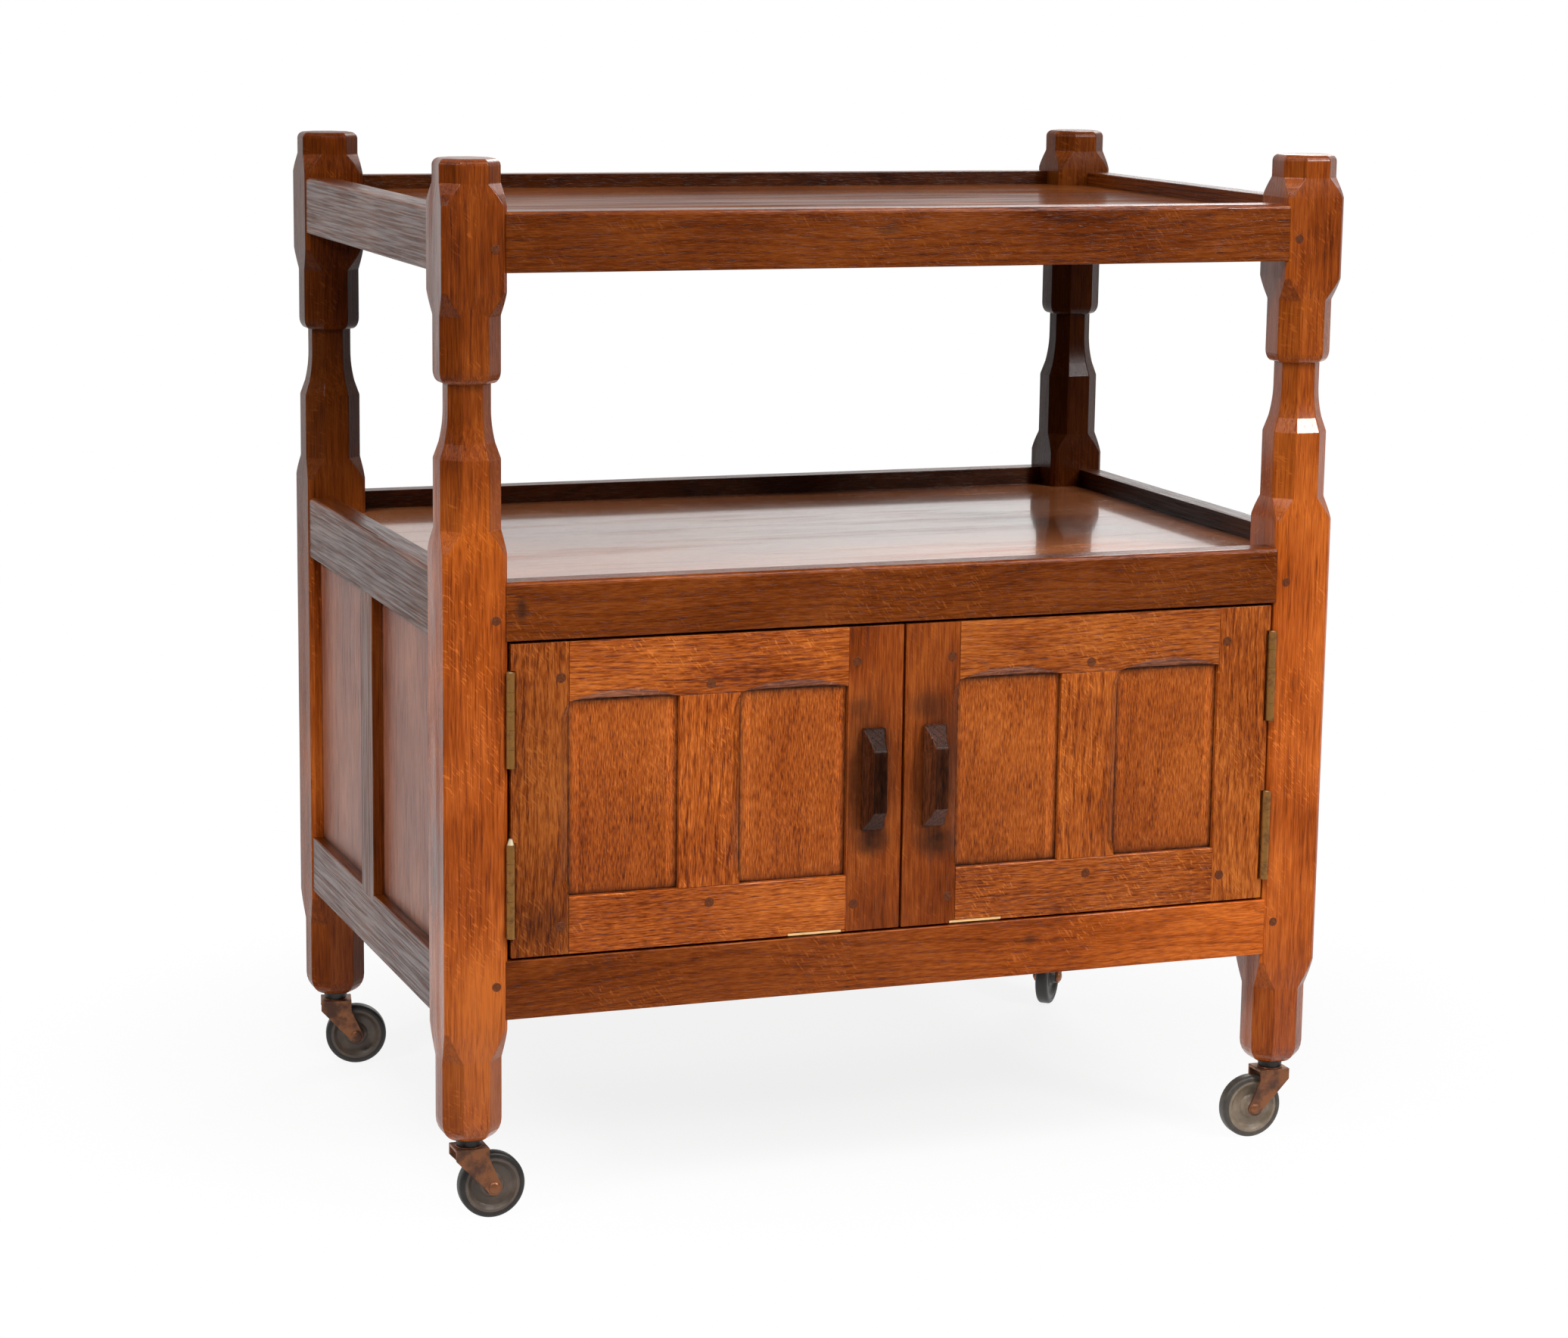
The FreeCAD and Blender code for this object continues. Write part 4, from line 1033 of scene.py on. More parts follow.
@dataclass
class Carcase:
    """Posts, rails, trays, side and back panels and their pegs."""

    paints: Paints
    tuck: float = 0.002
    rail_round: float = 0.0035
    plain_round: float = 0.0012
    peg_radius: float = 0.0038
    peg_proud: float = 0.0002
    peg_depth: float = 0.004
    muntin_width: float = 0.040
    muntin_tone: float = 0.3
    panel_thickness: float = 0.008
    # Painted shade on the inner faces of the front and back rails.
    inner_face_shade: float = 0.3
    inner_polish: float = 0.3
    side_panel_tone: float = 0.68
    # Painted sheen that greys the side panels' left faces.
    side_panel_painted_sheen: float = 0.16
    board_margins: tuple[float, ...] = (0.002, 0.004, 0.010, 0.020)
    board_muck_and_shade: float = 0.75
    board_muck_and_shade_reach: float = 0.006
    board_heart: tuple[float, float] = (0.11, -0.09)
    board_rounding: Arris = Arris(0.0005, 1, math.radians(30.0))
    muntin_heart: tuple[float, float] = (0.06, 0.05)
    side_panel_heart: tuple[float, float] = (-0.13, 0.012)
    back_panel_heart: tuple[float, float] = (0.03, -0.12)
    end_heart: tuple[float, float] = (0.030, 0.0)
    end_heart_step: tuple[float, float] = (0.004, 0.004)
    side_heart: tuple[float, float] = (-0.01, -0.05)
    side_heart_step: tuple[float, float] = (0.015, -0.006)
    rail_seed: int = 10
    board_seed: int = 40
    muntin_seed: int = 50
    panel_seed: int = 60
    peg_seed: int = 70
    # Painted light and shade on the side rails' inner faces: darker on the lower levels, lighter at the top.
    inner_side_light_and_shade: ClassVar[dict[str, float]] = {"bottom": 0.3, "middle": 0.5, "top": 1.3}
    peg_rises: ClassVar[dict[str, float]] = {"bottom": 0.004, "middle": -0.006, "top": -0.005}
    rail_tones: ClassVar[dict[str, tuple[float, ...]]] = {
        "top_front": (0.28, 0.32, 0.36), "top_back": (0.36,), "top_side": (0.18, 0.2),
        "middle_front": (0.37, 0.36, 0.33), "middle_back": (0.36,), "middle_side": (0.17, 0.19),
        "bottom_front": (0.37, 0.56, 1.1), "bottom_back": (0.5,), "bottom_side": (0.2, 0.24),
    }

    def __post_init__(self) -> None:
        """Read the clear places between the posts from the frame."""
        self.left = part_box("post_front_left")[1].x
        self.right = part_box("post_front_right")[0].x
        self.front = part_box("post_front_left")[1].y
        self.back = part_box("post_back_left")[0].y
        self.middle = (self.front + self.back) / 2
        self.pitch = (self.right - self.left - 2 * self.muntin_width) / 3 + self.muntin_width

    def build(self) -> None:
        """Make every piece of the carcase."""
        for seed, corner in enumerate(CASTOR_PAINTS, 1):
            CarvedPost(corner, seed).build(self.paints["post" if "front" in corner else "back_post"])
        self._rails()
        self._boards()
        self._muntins()
        self._panels()
        self._pegs()

    def _rails(self) -> None:
        """Rails of all three levels."""
        seed = self.rail_seed
        for level in ("bottom", "middle", "top"):
            rounded = self.plain_round if level == "bottom" else self.rail_round
            for side, outward in (("front", -1.0), ("back", 1.0)):
                node = f"{level}_rail_{side}"
                low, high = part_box(node)
                low.x, high.x = self.left - self.tuck, self.right + self.tuck
                seed += 1
                grain = Grain(Axis.X, self._heart(self.end_heart, self.end_heart_step, seed), seed,
                              self.rail_tones[f"{level}_{side}"], self._facings(0.0, -outward, self.inner_face_shade))
                Rail(f"{level}_{side}_rail", node, Axis.X, low, high, rounded, outward,
                     grain).build(self.paints["frame"])
            node = level + "_side_rails"
            near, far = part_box(f"{level}_rail_front")
            thickness = far.y - near.y
            for side, outward in (("left", -1.0), ("right", 1.0)):
                low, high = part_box(node)
                low.y, high.y = self.front - self.tuck, self.back + self.tuck
                if side == "left":
                    high.x = low.x + thickness
                else:
                    low.x = high.x - thickness
                seed += 1
                grain = Grain(Axis.Y, self._heart(self.side_heart, self.side_heart_step, seed), seed,
                              self.rail_tones[level + "_side"],
                              self._facings(-outward, 0.0, self.inner_side_light_and_shade[level]))
                Rail(f"{level}_{side}_rail", node, Axis.Y, low, high, rounded, outward,
                     grain).build(self.paints["side"])

    @staticmethod
    def _heart(start: tuple[float, float], step: tuple[float, float], seed: int) -> tuple[float, float]:
        """Where the tree's heart lay for one rail, so that no two beside each other match."""
        return start[0] + step[0] * (seed % 3), start[1] + step[1] * (seed % 4)

    def _facings(self, across: float, ahead: float, tone: float) -> tuple[Facing, ...]:
        """Painted shade on the undersides, and a painted tone of its own on an inner face, which looks the given
        way.
        """
        return SHADED_UNDERSIDE, Facing((across, ahead, 0.0), tone, 0.0, self.inner_polish)

    def _boards(self) -> None:
        """The two trays and the cupboard's floor, with their corners cut off past the posts."""
        rail_low, rail_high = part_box("middle_rail_front")
        right = -(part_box("middle_side_rails")[0].x + (rail_high.y - rail_low.y))
        left, front = -right, rail_high.y
        leg = self.left - left
        for seed, node in enumerate(("top_tray_board", "middle_shelf_board", "cupboard_floor"), self.board_seed):
            low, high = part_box(node)
            back = low.y + high.y - front
            corners = [(left + leg, front), (right - leg, front), (right, front + leg), (right, back - leg),
                       (right - leg, back), (left + leg, back), (left, back - leg), (left, front + leg)]
            bm = draw_out([[Vector((x, y, level)) for x, y in corners] for level in (low.z, high.z)])
            top = max(bm.faces, key=lambda face: face.calc_center_median().z)
            for reach in self.board_margins:
                bmesh.ops.inset_region(bm, faces=[top], thickness=reach, use_even_offset=True)

            # Painted shade where the board meets the rails, together with muck there.
            def muck_and_shade(point: Vector, far: float = back) -> float:
                """Muck and painted shade along the rails, on a board that ends at the given depth."""
                gap = min(point.x - left, right - point.x, point.y - front, far - point.y)
                return self.board_muck_and_shade * math.exp(-max(gap, 0.0) / self.board_muck_and_shade_reach)

            make_piece(bm, node + "_dressed", Place("carcase", (node,), "oak_boards"),
                       self.paints["tray" if node == "top_tray_board" else "shelf"], self.board_rounding,
                       Grain(Axis.X, self.board_heart, seed), muck_and_shade)

    def _muntins(self) -> None:
        """Upright bars of the sides and the back."""
        low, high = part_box("carcase_muntins")
        near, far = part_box("middle_rail_back")
        thickness = far.y - near.y
        width = self.muntin_width
        first = self.left + self.pitch - width
        start, end = self.middle - width / 2, self.middle + width / 2
        blocks = {
            "side_muntin_left": (low.x, low.x + thickness, start, end),
            "side_muntin_right": (high.x - thickness, high.x, start, end),
            "back_muntin_left": (first, first + width, high.y - thickness, high.y),
            "back_muntin_right": (-first - width, -first, high.y - thickness, high.y),
        }
        for seed, (name, (x0, x1, y0, y1)) in enumerate(blocks.items(), self.muntin_seed):
            sections = [[Vector((x, y, level)) for x, y in ((x0, y0), (x1, y0), (x1, y1), (x0, y1))]
                        for level in stations(low.z, high.z, width)]
            make_piece(draw_out(planed(sections, seed)), name, Place("carcase", ("carcase_muntins",), "oak_frame"),
                       self.paints["side" if name.startswith("side") else "frame"], Arris(),
                       Grain(Axis.Z, self.muntin_heart, seed, (self.muntin_tone,)))

    def _panels(self) -> None:
        """Panels of the sides and the back, dirty along the frame's inner edges."""
        low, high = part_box("carcase_panels")
        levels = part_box("bottom_side_rails")[1].z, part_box("middle_side_rails")[0].z
        thickness, width = self.panel_thickness, self.muntin_width
        place = Place("carcase", ("carcase_panels",), "oak_boards")
        seed = self.panel_seed
        # Painted reflection: the side panels' left faces are greyed by a painted sheen.
        side_look = ((self.side_panel_tone,), (Facing((-1.0, 0.0, 0.0), 1.0, self.side_panel_painted_sheen),))
        fields = ((self.front, self.middle - width / 2), (self.middle + width / 2, self.back))
        for side, near in (("left", low.x), ("right", high.x - thickness)):
            for number, (start, end) in enumerate(fields, 1):
                seed += 1
                PanelSlab(Axis.Y, near, near + thickness, start, end, *levels).build(
                    f"side_panel_{side}_{number}", place, self.paints["side_panel"],
                    Grain(Axis.Z, self.side_panel_heart, seed, *side_look))
        for number in range(3):
            seed += 1
            start = self.left + number * self.pitch
            PanelSlab(Axis.X, high.y - thickness, high.y, start, start + self.pitch - width, *levels).build(
                f"back_panel_{number + 1}", place, self.paints["side_panel"],
                Grain(Axis.Z, self.back_panel_heart, seed))

    def _pegs(self) -> None:
        """Ends of the oak pegs; those at the front stand a hair out of the posts."""
        low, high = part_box("frame_pegs")
        bm = bmesh.new()
        for side, outward, face in (("front", -1.0, low.y - self.peg_proud), ("back", 1.0, high.y)):
            for level, rise in self.peg_rises.items():
                rail_low, rail_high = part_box(f"{level}_rail_{side}")
                for hand in (-1.0, 1.0):
                    tip = Vector((hand * (high.x - self.peg_radius), face, (rail_low.z + rail_high.z) / 2 + rise))
                    add_peg(bm, tip, outward, self.peg_radius, self.peg_depth)
        make_piece(bm, "peg_ends", Place("carcase", ("frame_pegs",), "oak_pegs"), self.paints["peg"], PEG_ARRIS,
                   Grain(Axis.Y, (0.01, 0.01), self.peg_seed))


class Hand(Enum):
    """Which of the two doors."""

    LEFT = "left"
    RIGHT = "right"


@dataclass(frozen=True)
class DoorLook:
    """How light the pieces of one door are, and their seeds."""

    left_stile: tuple[float, ...]
    right_stile: tuple[float, ...]
    muntin: float
    top: float
    bottom: float
    panel: float
    pull: float
    upright_seed: int
    rail_seed: int
    panel_seed: int


@dataclass
class PanelledDoor:
    """A framed door: two stiles, two rails, a muntin, two panels, pegs and a carved pull."""

    hand: Hand
    paints: Paints
    bevel_width: float = 0.0070
    bevel_depth: float = 0.0046
    bevel_run: float = 0.016
    scoop: float = 0.0007
    scoop_lean: float = 0.7
    lintel_drop: float = 0.0054
    arch_rise: float = 0.0080
    arch_step: float = 0.003
    arch_full_rise: float = 0.003
    arch_toe: float = 0.001
    arch_toe_share: float = 0.15
    arch_bend: float = 0.42
    # Painted shade and painted sheen on the arched bevels' downward faces.
    arch_shade: float = 0.66
    arch_painted_sheen: float = 0.14
    plain: float = 0.0005
    hinge_length: float = 0.075
    knuckle_relief: float = 0.0040
    knuckle_reach: float = 0.0006
    level_pair: float = 0.0002
    level_gap: float = 0.0003
    wave: tuple[float, float] = (0.00018, 30.0)
    bottom_wave: tuple[float, float] = (0.0004, 34.0)
    rounding: Arris = Arris(0.0004, 2, math.radians(25.0))
    upright_heart: tuple[float, float] = (0.05, 0.09)
    top_heart: tuple[float, float] = (0.03, -0.06)
    bottom_heart: tuple[float, float] = (0.02, 0.055)
    panel_heart: tuple[float, float] = (0.015, 0.14)
    # Painted shade on the faces that look right.
    right_face_shade: float = 0.6
    peg_radius: float = 0.0034
    peg_spread: float = 0.0007
    peg_rise: float = 0.0225
    peg_over: float = 0.0085
    peg_under: float = 0.013
    peg_proud: float = 0.0003
    peg_depth: float = 0.004
    peg_seed: int = 112
    pull_width: float = 0.020
    pull_ridge: float = 0.012
    pull_lip: float = 0.0035
    pull_slope: float = 0.017
    pull_seed: int = 110
    pull_facing_limit: float = 0.93
    pull_rounding: Arris = Arris(0.0022, 4, math.radians(20.0))
    plate_height: float = 0.0018
    plate_depth: float = 0.017
    plate_play: float = 0.0004
    pull_steps: int = 6
    step: float = 0.006
    # Painted light and shade on the pull: the front is darker, the upper slope darker with a little painted sheen,
    # and the lower slope lighter, greyed as a painted reflection of the floor.
    pull_light_and_shade: ClassVar[tuple[Facing, ...]] = (
        Facing((0.0, -1.0, 0.0), 0.6), Facing((0.0, -0.7, 0.7), 0.7, 0.1), Facing((0.0, -0.7, -0.7), 1.4, 0.25))
    looks: ClassVar[dict[Hand, DoorLook]] = {
        Hand.LEFT: DoorLook((0.58, 0.7), (0.62, 0.66), 1.1, 0.94, 1.0, 1.0, 0.6, 80, 85, 100),
        Hand.RIGHT: DoorLook((0.6,), (0.85,), 0.93, 0.76, 0.85, 0.92, 1.1, 90, 95, 105),
    }

    def __post_init__(self) -> None:
        """Read the door's places from the frame."""
        self.prefix = self.hand.value + "_door_"
        self.body = self.hand.value + "_door"
        self.look = self.looks[self.hand]
        bottom, muntin = (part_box(self.prefix + name) for name in ("bottom_rail", "muntin"))
        stiles = sorted((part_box(self.prefix + name) for name in ("hinge_stile", "lock_stile")),
                        key=lambda box: box[0].x)
        self.face, self.rear = bottom[0].y, bottom[1].y
        self.floor, self.top = stiles[0][0].z, stiles[0][1].z
        self.sill = bottom[1].z
        self.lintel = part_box(self.prefix + "panels")[1].z - self.lintel_drop
        self.left_stile, self.right_stile = ((low.x, high.x) for low, high in stiles)
        self.muntin = (muntin[0].x, muntin[1].x)
        self.fields = ((self.left_stile[1], self.muntin[0]), (self.muntin[1], self.right_stile[0]))
        self.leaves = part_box(self.prefix + "hinge_leaves")
        plate_low, plate_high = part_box(self.prefix + "catch_barrel")
        self.plate = (plate_low.x - self.plate_play, plate_high.x + self.plate_play)
        self.plate_top = self.floor + self.plate_height + self.plate_play / 2
        self.plate_rear = self.face + self.plate_depth + self.plate_play

    def build(self) -> None:
        """Make the door."""
        self._uprights()
        self._top_rail()
        self._bottom_rail()
        self._panels()
        self._pull()
        self._pegs()

    def _place(self, name: str, slot: str = "oak_frame") -> Place:
        """Where a piece of this door belongs."""
        return Place(self.body, (self.prefix + name,), slot)

    def _envelope(self, level: float) -> float:
        """How open a side bevel is at a level: 0 past its stops, 1 along its run."""
        run = min(level - self.sill, self.lintel - level) / self.bevel_run
        return math.sin(math.pi / 2 * min(max(run, 0.0), 1.0))

    def _upright(self, left: float, right: float, level: float, bevelled: bool) -> Section:
        """Section of a stile or muntin at one level.

        Args:
            left: Its left edge.
            right: Its right edge.
            level: The height of the section.
            bevelled: Whether its right edge has the scooped bevel.

        Returns:
            The outline's corners.
        """
        if left < self.plate[0] < right - MERGE and level < self.plate_top:
            return [Vector((left, self.rear, level)), Vector((right, self.rear, level)),
                    Vector((right, self.plate_rear, level)), Vector((self.plate[0], self.plate_rear, level)),
                    Vector((self.plate[0], self.face, level)), Vector((left + self.plain, self.face, level)),
                    Vector((left, self.face + self.plain, level))]
        open_share = self._envelope(level) if bevelled else 0.0
        width = self.plain + (self.bevel_width - self.plain) * open_share
        depth = self.plain + (self.bevel_depth - self.plain) * open_share
        scoop = self.scoop * open_share
        relief = self._relief(level)
        left_cut = relief if left < self.left_stile[0] + MERGE and self.hand is Hand.LEFT else self.plain
        if right > self.right_stile[1] - MERGE and self.hand is Hand.RIGHT:
            width = depth = relief
        return [Vector((left, self.rear, level)), Vector((right, self.rear, level)),
                Vector((right, self.face + depth, level)),
                Vector((right - width / 2 + scoop * self.scoop_lean, self.face + depth / 2 + scoop, level)),
                Vector((right - width, self.face, level)),
                Vector((left + left_cut, self.face, level)), Vector((left, self.face + left_cut, level))]

    def _relief(self, level: float) -> float:
        """How much of the stile's outer corner is cut away, for the hinge knuckles.

        Args:
            level: The height that is asked about.

        Returns:
            The leg of the cut corner there.
        """
        length, reach = self.hinge_length, self.knuckle_reach
        starts = (self.leaves[0].z, self.leaves[1].z - length)
        beside = any(start - reach <= level <= start + length + reach for start in starts)
        return self.knuckle_relief if beside else self.plain

    def _levels(self, low: float, high: float) -> list[float]:
        """Levels of an upright's sections, with close pairs where the hinge reliefs begin and end.

        Args:
            low: The lowest level.
            high: The highest level.

        Returns:
            The levels in order.
        """
        levels = set(stations(low, high, self.step))
        first, last = self.leaves[0].z, self.leaves[1].z
        for edge in (first, first + self.hinge_length, last - self.hinge_length, last):
            for shift in (-self.knuckle_reach, self.knuckle_reach):
                levels.update((edge + shift - self.level_pair, edge + shift + self.level_pair))
        kept: list[float] = []
        for level in sorted(levels):
            if not kept or level - kept[-1] > self.level_gap:
                kept.append(level)
        return kept

    def _uprights(self) -> None:
        """Both stiles and the muntin."""
        names = ("hinge_stile", "lock_stile") if self.hand is Hand.LEFT else ("lock_stile", "hinge_stile")
        members = ((names[0], self.left_stile, self.floor, self.top, True, self.look.left_stile),
                   ("muntin", self.muntin, self.sill, self.lintel, True, (self.look.muntin,)),
                   (names[1], self.right_stile, self.floor, self.top, False, self.look.right_stile))
        # Painted shade on the faces that look right.
        facings = (SHADED_UNDERSIDE, Facing((1.0, 0.0, 0.0), self.right_face_shade))
        for seed, member in enumerate(members, self.look.upright_seed + 1):
            name, (left, right), low, high, bevelled, tones = member
            levels = self._levels(low, high) if "hinge" in name else stations(low, high, self.step)
            if name == "lock_stile":
                levels[1:1] = [self.plate_top - MERGE, self.plate_top]
            sections = [self._upright(left, right, level, bevelled) for level in levels]
            make_piece(draw_out(planed(sections, seed, *self.wave)), self.prefix + name + "_carved",
                       self._place(name), self.paints["stile" if name == "lock_stile" else "door"],
                       self.rounding, Grain(Axis.Z, self.upright_heart, seed, tones, facings))

    def _top_rail(self) -> None:
        """The top rail with its two arched bevels; its downward faces get painted shade and a painted sheen."""
        seed = self.look.rail_seed
        sections = []
        for along in stations(self.left_stile[1], self.right_stile[0], self.arch_step):
            rise = self._arch(along)
            depth = self.plain + (self.bevel_depth - self.plain) * min(rise / self.arch_full_rise, 1.0)
            rise = max(rise, self.plain)
            toe = min(rise * self.arch_toe_share, self.arch_toe)
            outline = ((self.rear, 0.0), (self.face + depth, toe),
                       (self.face + depth * self.arch_bend, toe + (rise - toe) * self.arch_bend),
                       (self.face, rise))
            sections.append([Vector((along, y, self.lintel + up)) for y, up in outline]
                            + [Vector((along, self.face, self.top)), Vector((along, self.rear, self.top))])
        make_piece(draw_out(planed(sections, seed, *self.wave)), self.prefix + "top_rail_carved",
                   self._place("top_rail"), self.paints["door"], self.rounding,
                   Grain(Axis.X, self.top_heart, seed, (self.look.top,),
                         (Facing((0.0, 0.0, -1.0), self.arch_shade, self.arch_painted_sheen),)))

    def _arch(self, along: float) -> float:
        """Height of the arched bevel's upper arris over the opening.

        Args:
            along: The place along the rail.

        Returns:
            The height there.
        """
        for start, end in self.fields:
            if start < along < end:
                share = 2 * (along - start) / (end - start) - 1
                return self.arch_rise * (1 - share * share)
        return 0.0

    def _bottom_rail(self) -> None:
        """The bottom rail, with a recess for the catch's face plate."""
        seed = self.look.rail_seed + 1
        left, right = self.left_stile[1], self.right_stile[0]
        low, high = max(self.plate[0], left), self.plate[1]
        places = [(along, False) for along in stations(left, low, self.step)] if low > left else []
        places += [(along, True) for along in stations(low + MERGE, high - MERGE, self.step)]
        places += [(along, False) for along in stations(high, right, self.step)]
        sections = [self._bottom_outline(along, recessed) for along, recessed in places]
        bm = draw_out(planed(sections, seed, *self.bottom_wave))
        bmesh.ops.remove_doubles(bm, verts=bm.verts, dist=MERGE / 2)
        make_piece(bm, self.prefix + "bottom_rail_carved", self._place("bottom_rail"), self.paints["door"],
                   self.rounding, Grain(Axis.X, self.bottom_heart, seed, (self.look.bottom,)))

    def _bottom_outline(self, along: float, recessed: bool) -> Section:
        """Section of the bottom rail.

        Args:
            along: The place along the rail.
            recessed: Whether it leaves room for the catch's face plate.

        Returns:
            The outline's corners.
        """
        back, top = (self.plate_rear, self.plate_top) if recessed else (self.face, self.floor)
        outline = ((self.rear, self.floor), (back, self.floor), (back, top), (self.face, top),
                   (self.face, self.sill - self.plain), (self.face + self.plain, self.sill),
                   (self.rear, self.sill))
        return [Vector((along, depth, level)) for depth, level in outline]

    def _panels(self) -> None:
        """The two flat panels."""
        low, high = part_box(self.prefix + "panels")
        for number, (start, end) in enumerate(self.fields, 1):
            slab = PanelSlab(Axis.X, low.y, high.y, start, end, self.sill, self.lintel)
            slab.build(f"{self.prefix}panel_{number}", self._place("panels", "oak_boards"), self.paints["panel"],
                       Grain(Axis.Z, self.panel_heart, self.look.panel_seed + number, (self.look.panel,)))

    def _pull(self) -> None:
        """The carved bar pull: lip, hollowed flanks, hipped ends and a flat ridge."""
        low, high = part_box(self.prefix + "pull")
        centre = (low.x + high.x) / 2
        height = self.face - low.y
        rings = [(0.0, self.pull_width, 0.0)]
        for step in range(self.pull_steps + 1):
            share = step / self.pull_steps
            rings.append((self.pull_lip + (height - self.pull_lip) * share,
                          self.pull_ridge + (self.pull_width - self.pull_ridge) * (1 - share) ** 2,
                          self.pull_slope * share))
        sections = [[Vector((centre + hand * width / 2, self.face - rise, level))
                     for hand, level in ((-1, low.z + slope), (1, low.z + slope), (1, high.z - slope),
                                         (-1, high.z - slope))] for rise, width, slope in rings]
        make_piece(draw_out(sections), self.prefix + "pull_carved", self._place("pull", "oak_pull"),
                   self.paints["pull"], self.pull_rounding,
                   Grain(Axis.Z, (0.03, 0.03), self.pull_seed, (self.look.pull,), self.pull_light_and_shade,
                         facing_limit=self.pull_facing_limit))

    def _pegs(self) -> None:
        """Ends of the pegs at the rails' and the muntin's tenons."""
        low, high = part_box(self.prefix + "pegs")
        radius = self.peg_radius
        middle = sum(self.muntin) / 2
        places = [(x, z) for z in (high.z - radius, self.floor + self.peg_rise)
                  for x in (low.x + radius, high.x - radius)]
        places += [(middle, self.lintel + self.peg_over), (middle, self.sill - self.peg_under)]
        bm = bmesh.new()
        for x, z in places:
            add_peg(bm, Vector((x, self.face - self.peg_proud, z)), -1.0, radius + self.peg_spread, self.peg_depth)
        make_piece(bm, self.prefix + "peg_ends", self._place("pegs", "oak_pegs"), self.paints["peg"], PEG_ARRIS,
                   Grain(Axis.Y, (0.01, 0.01), self.peg_seed))


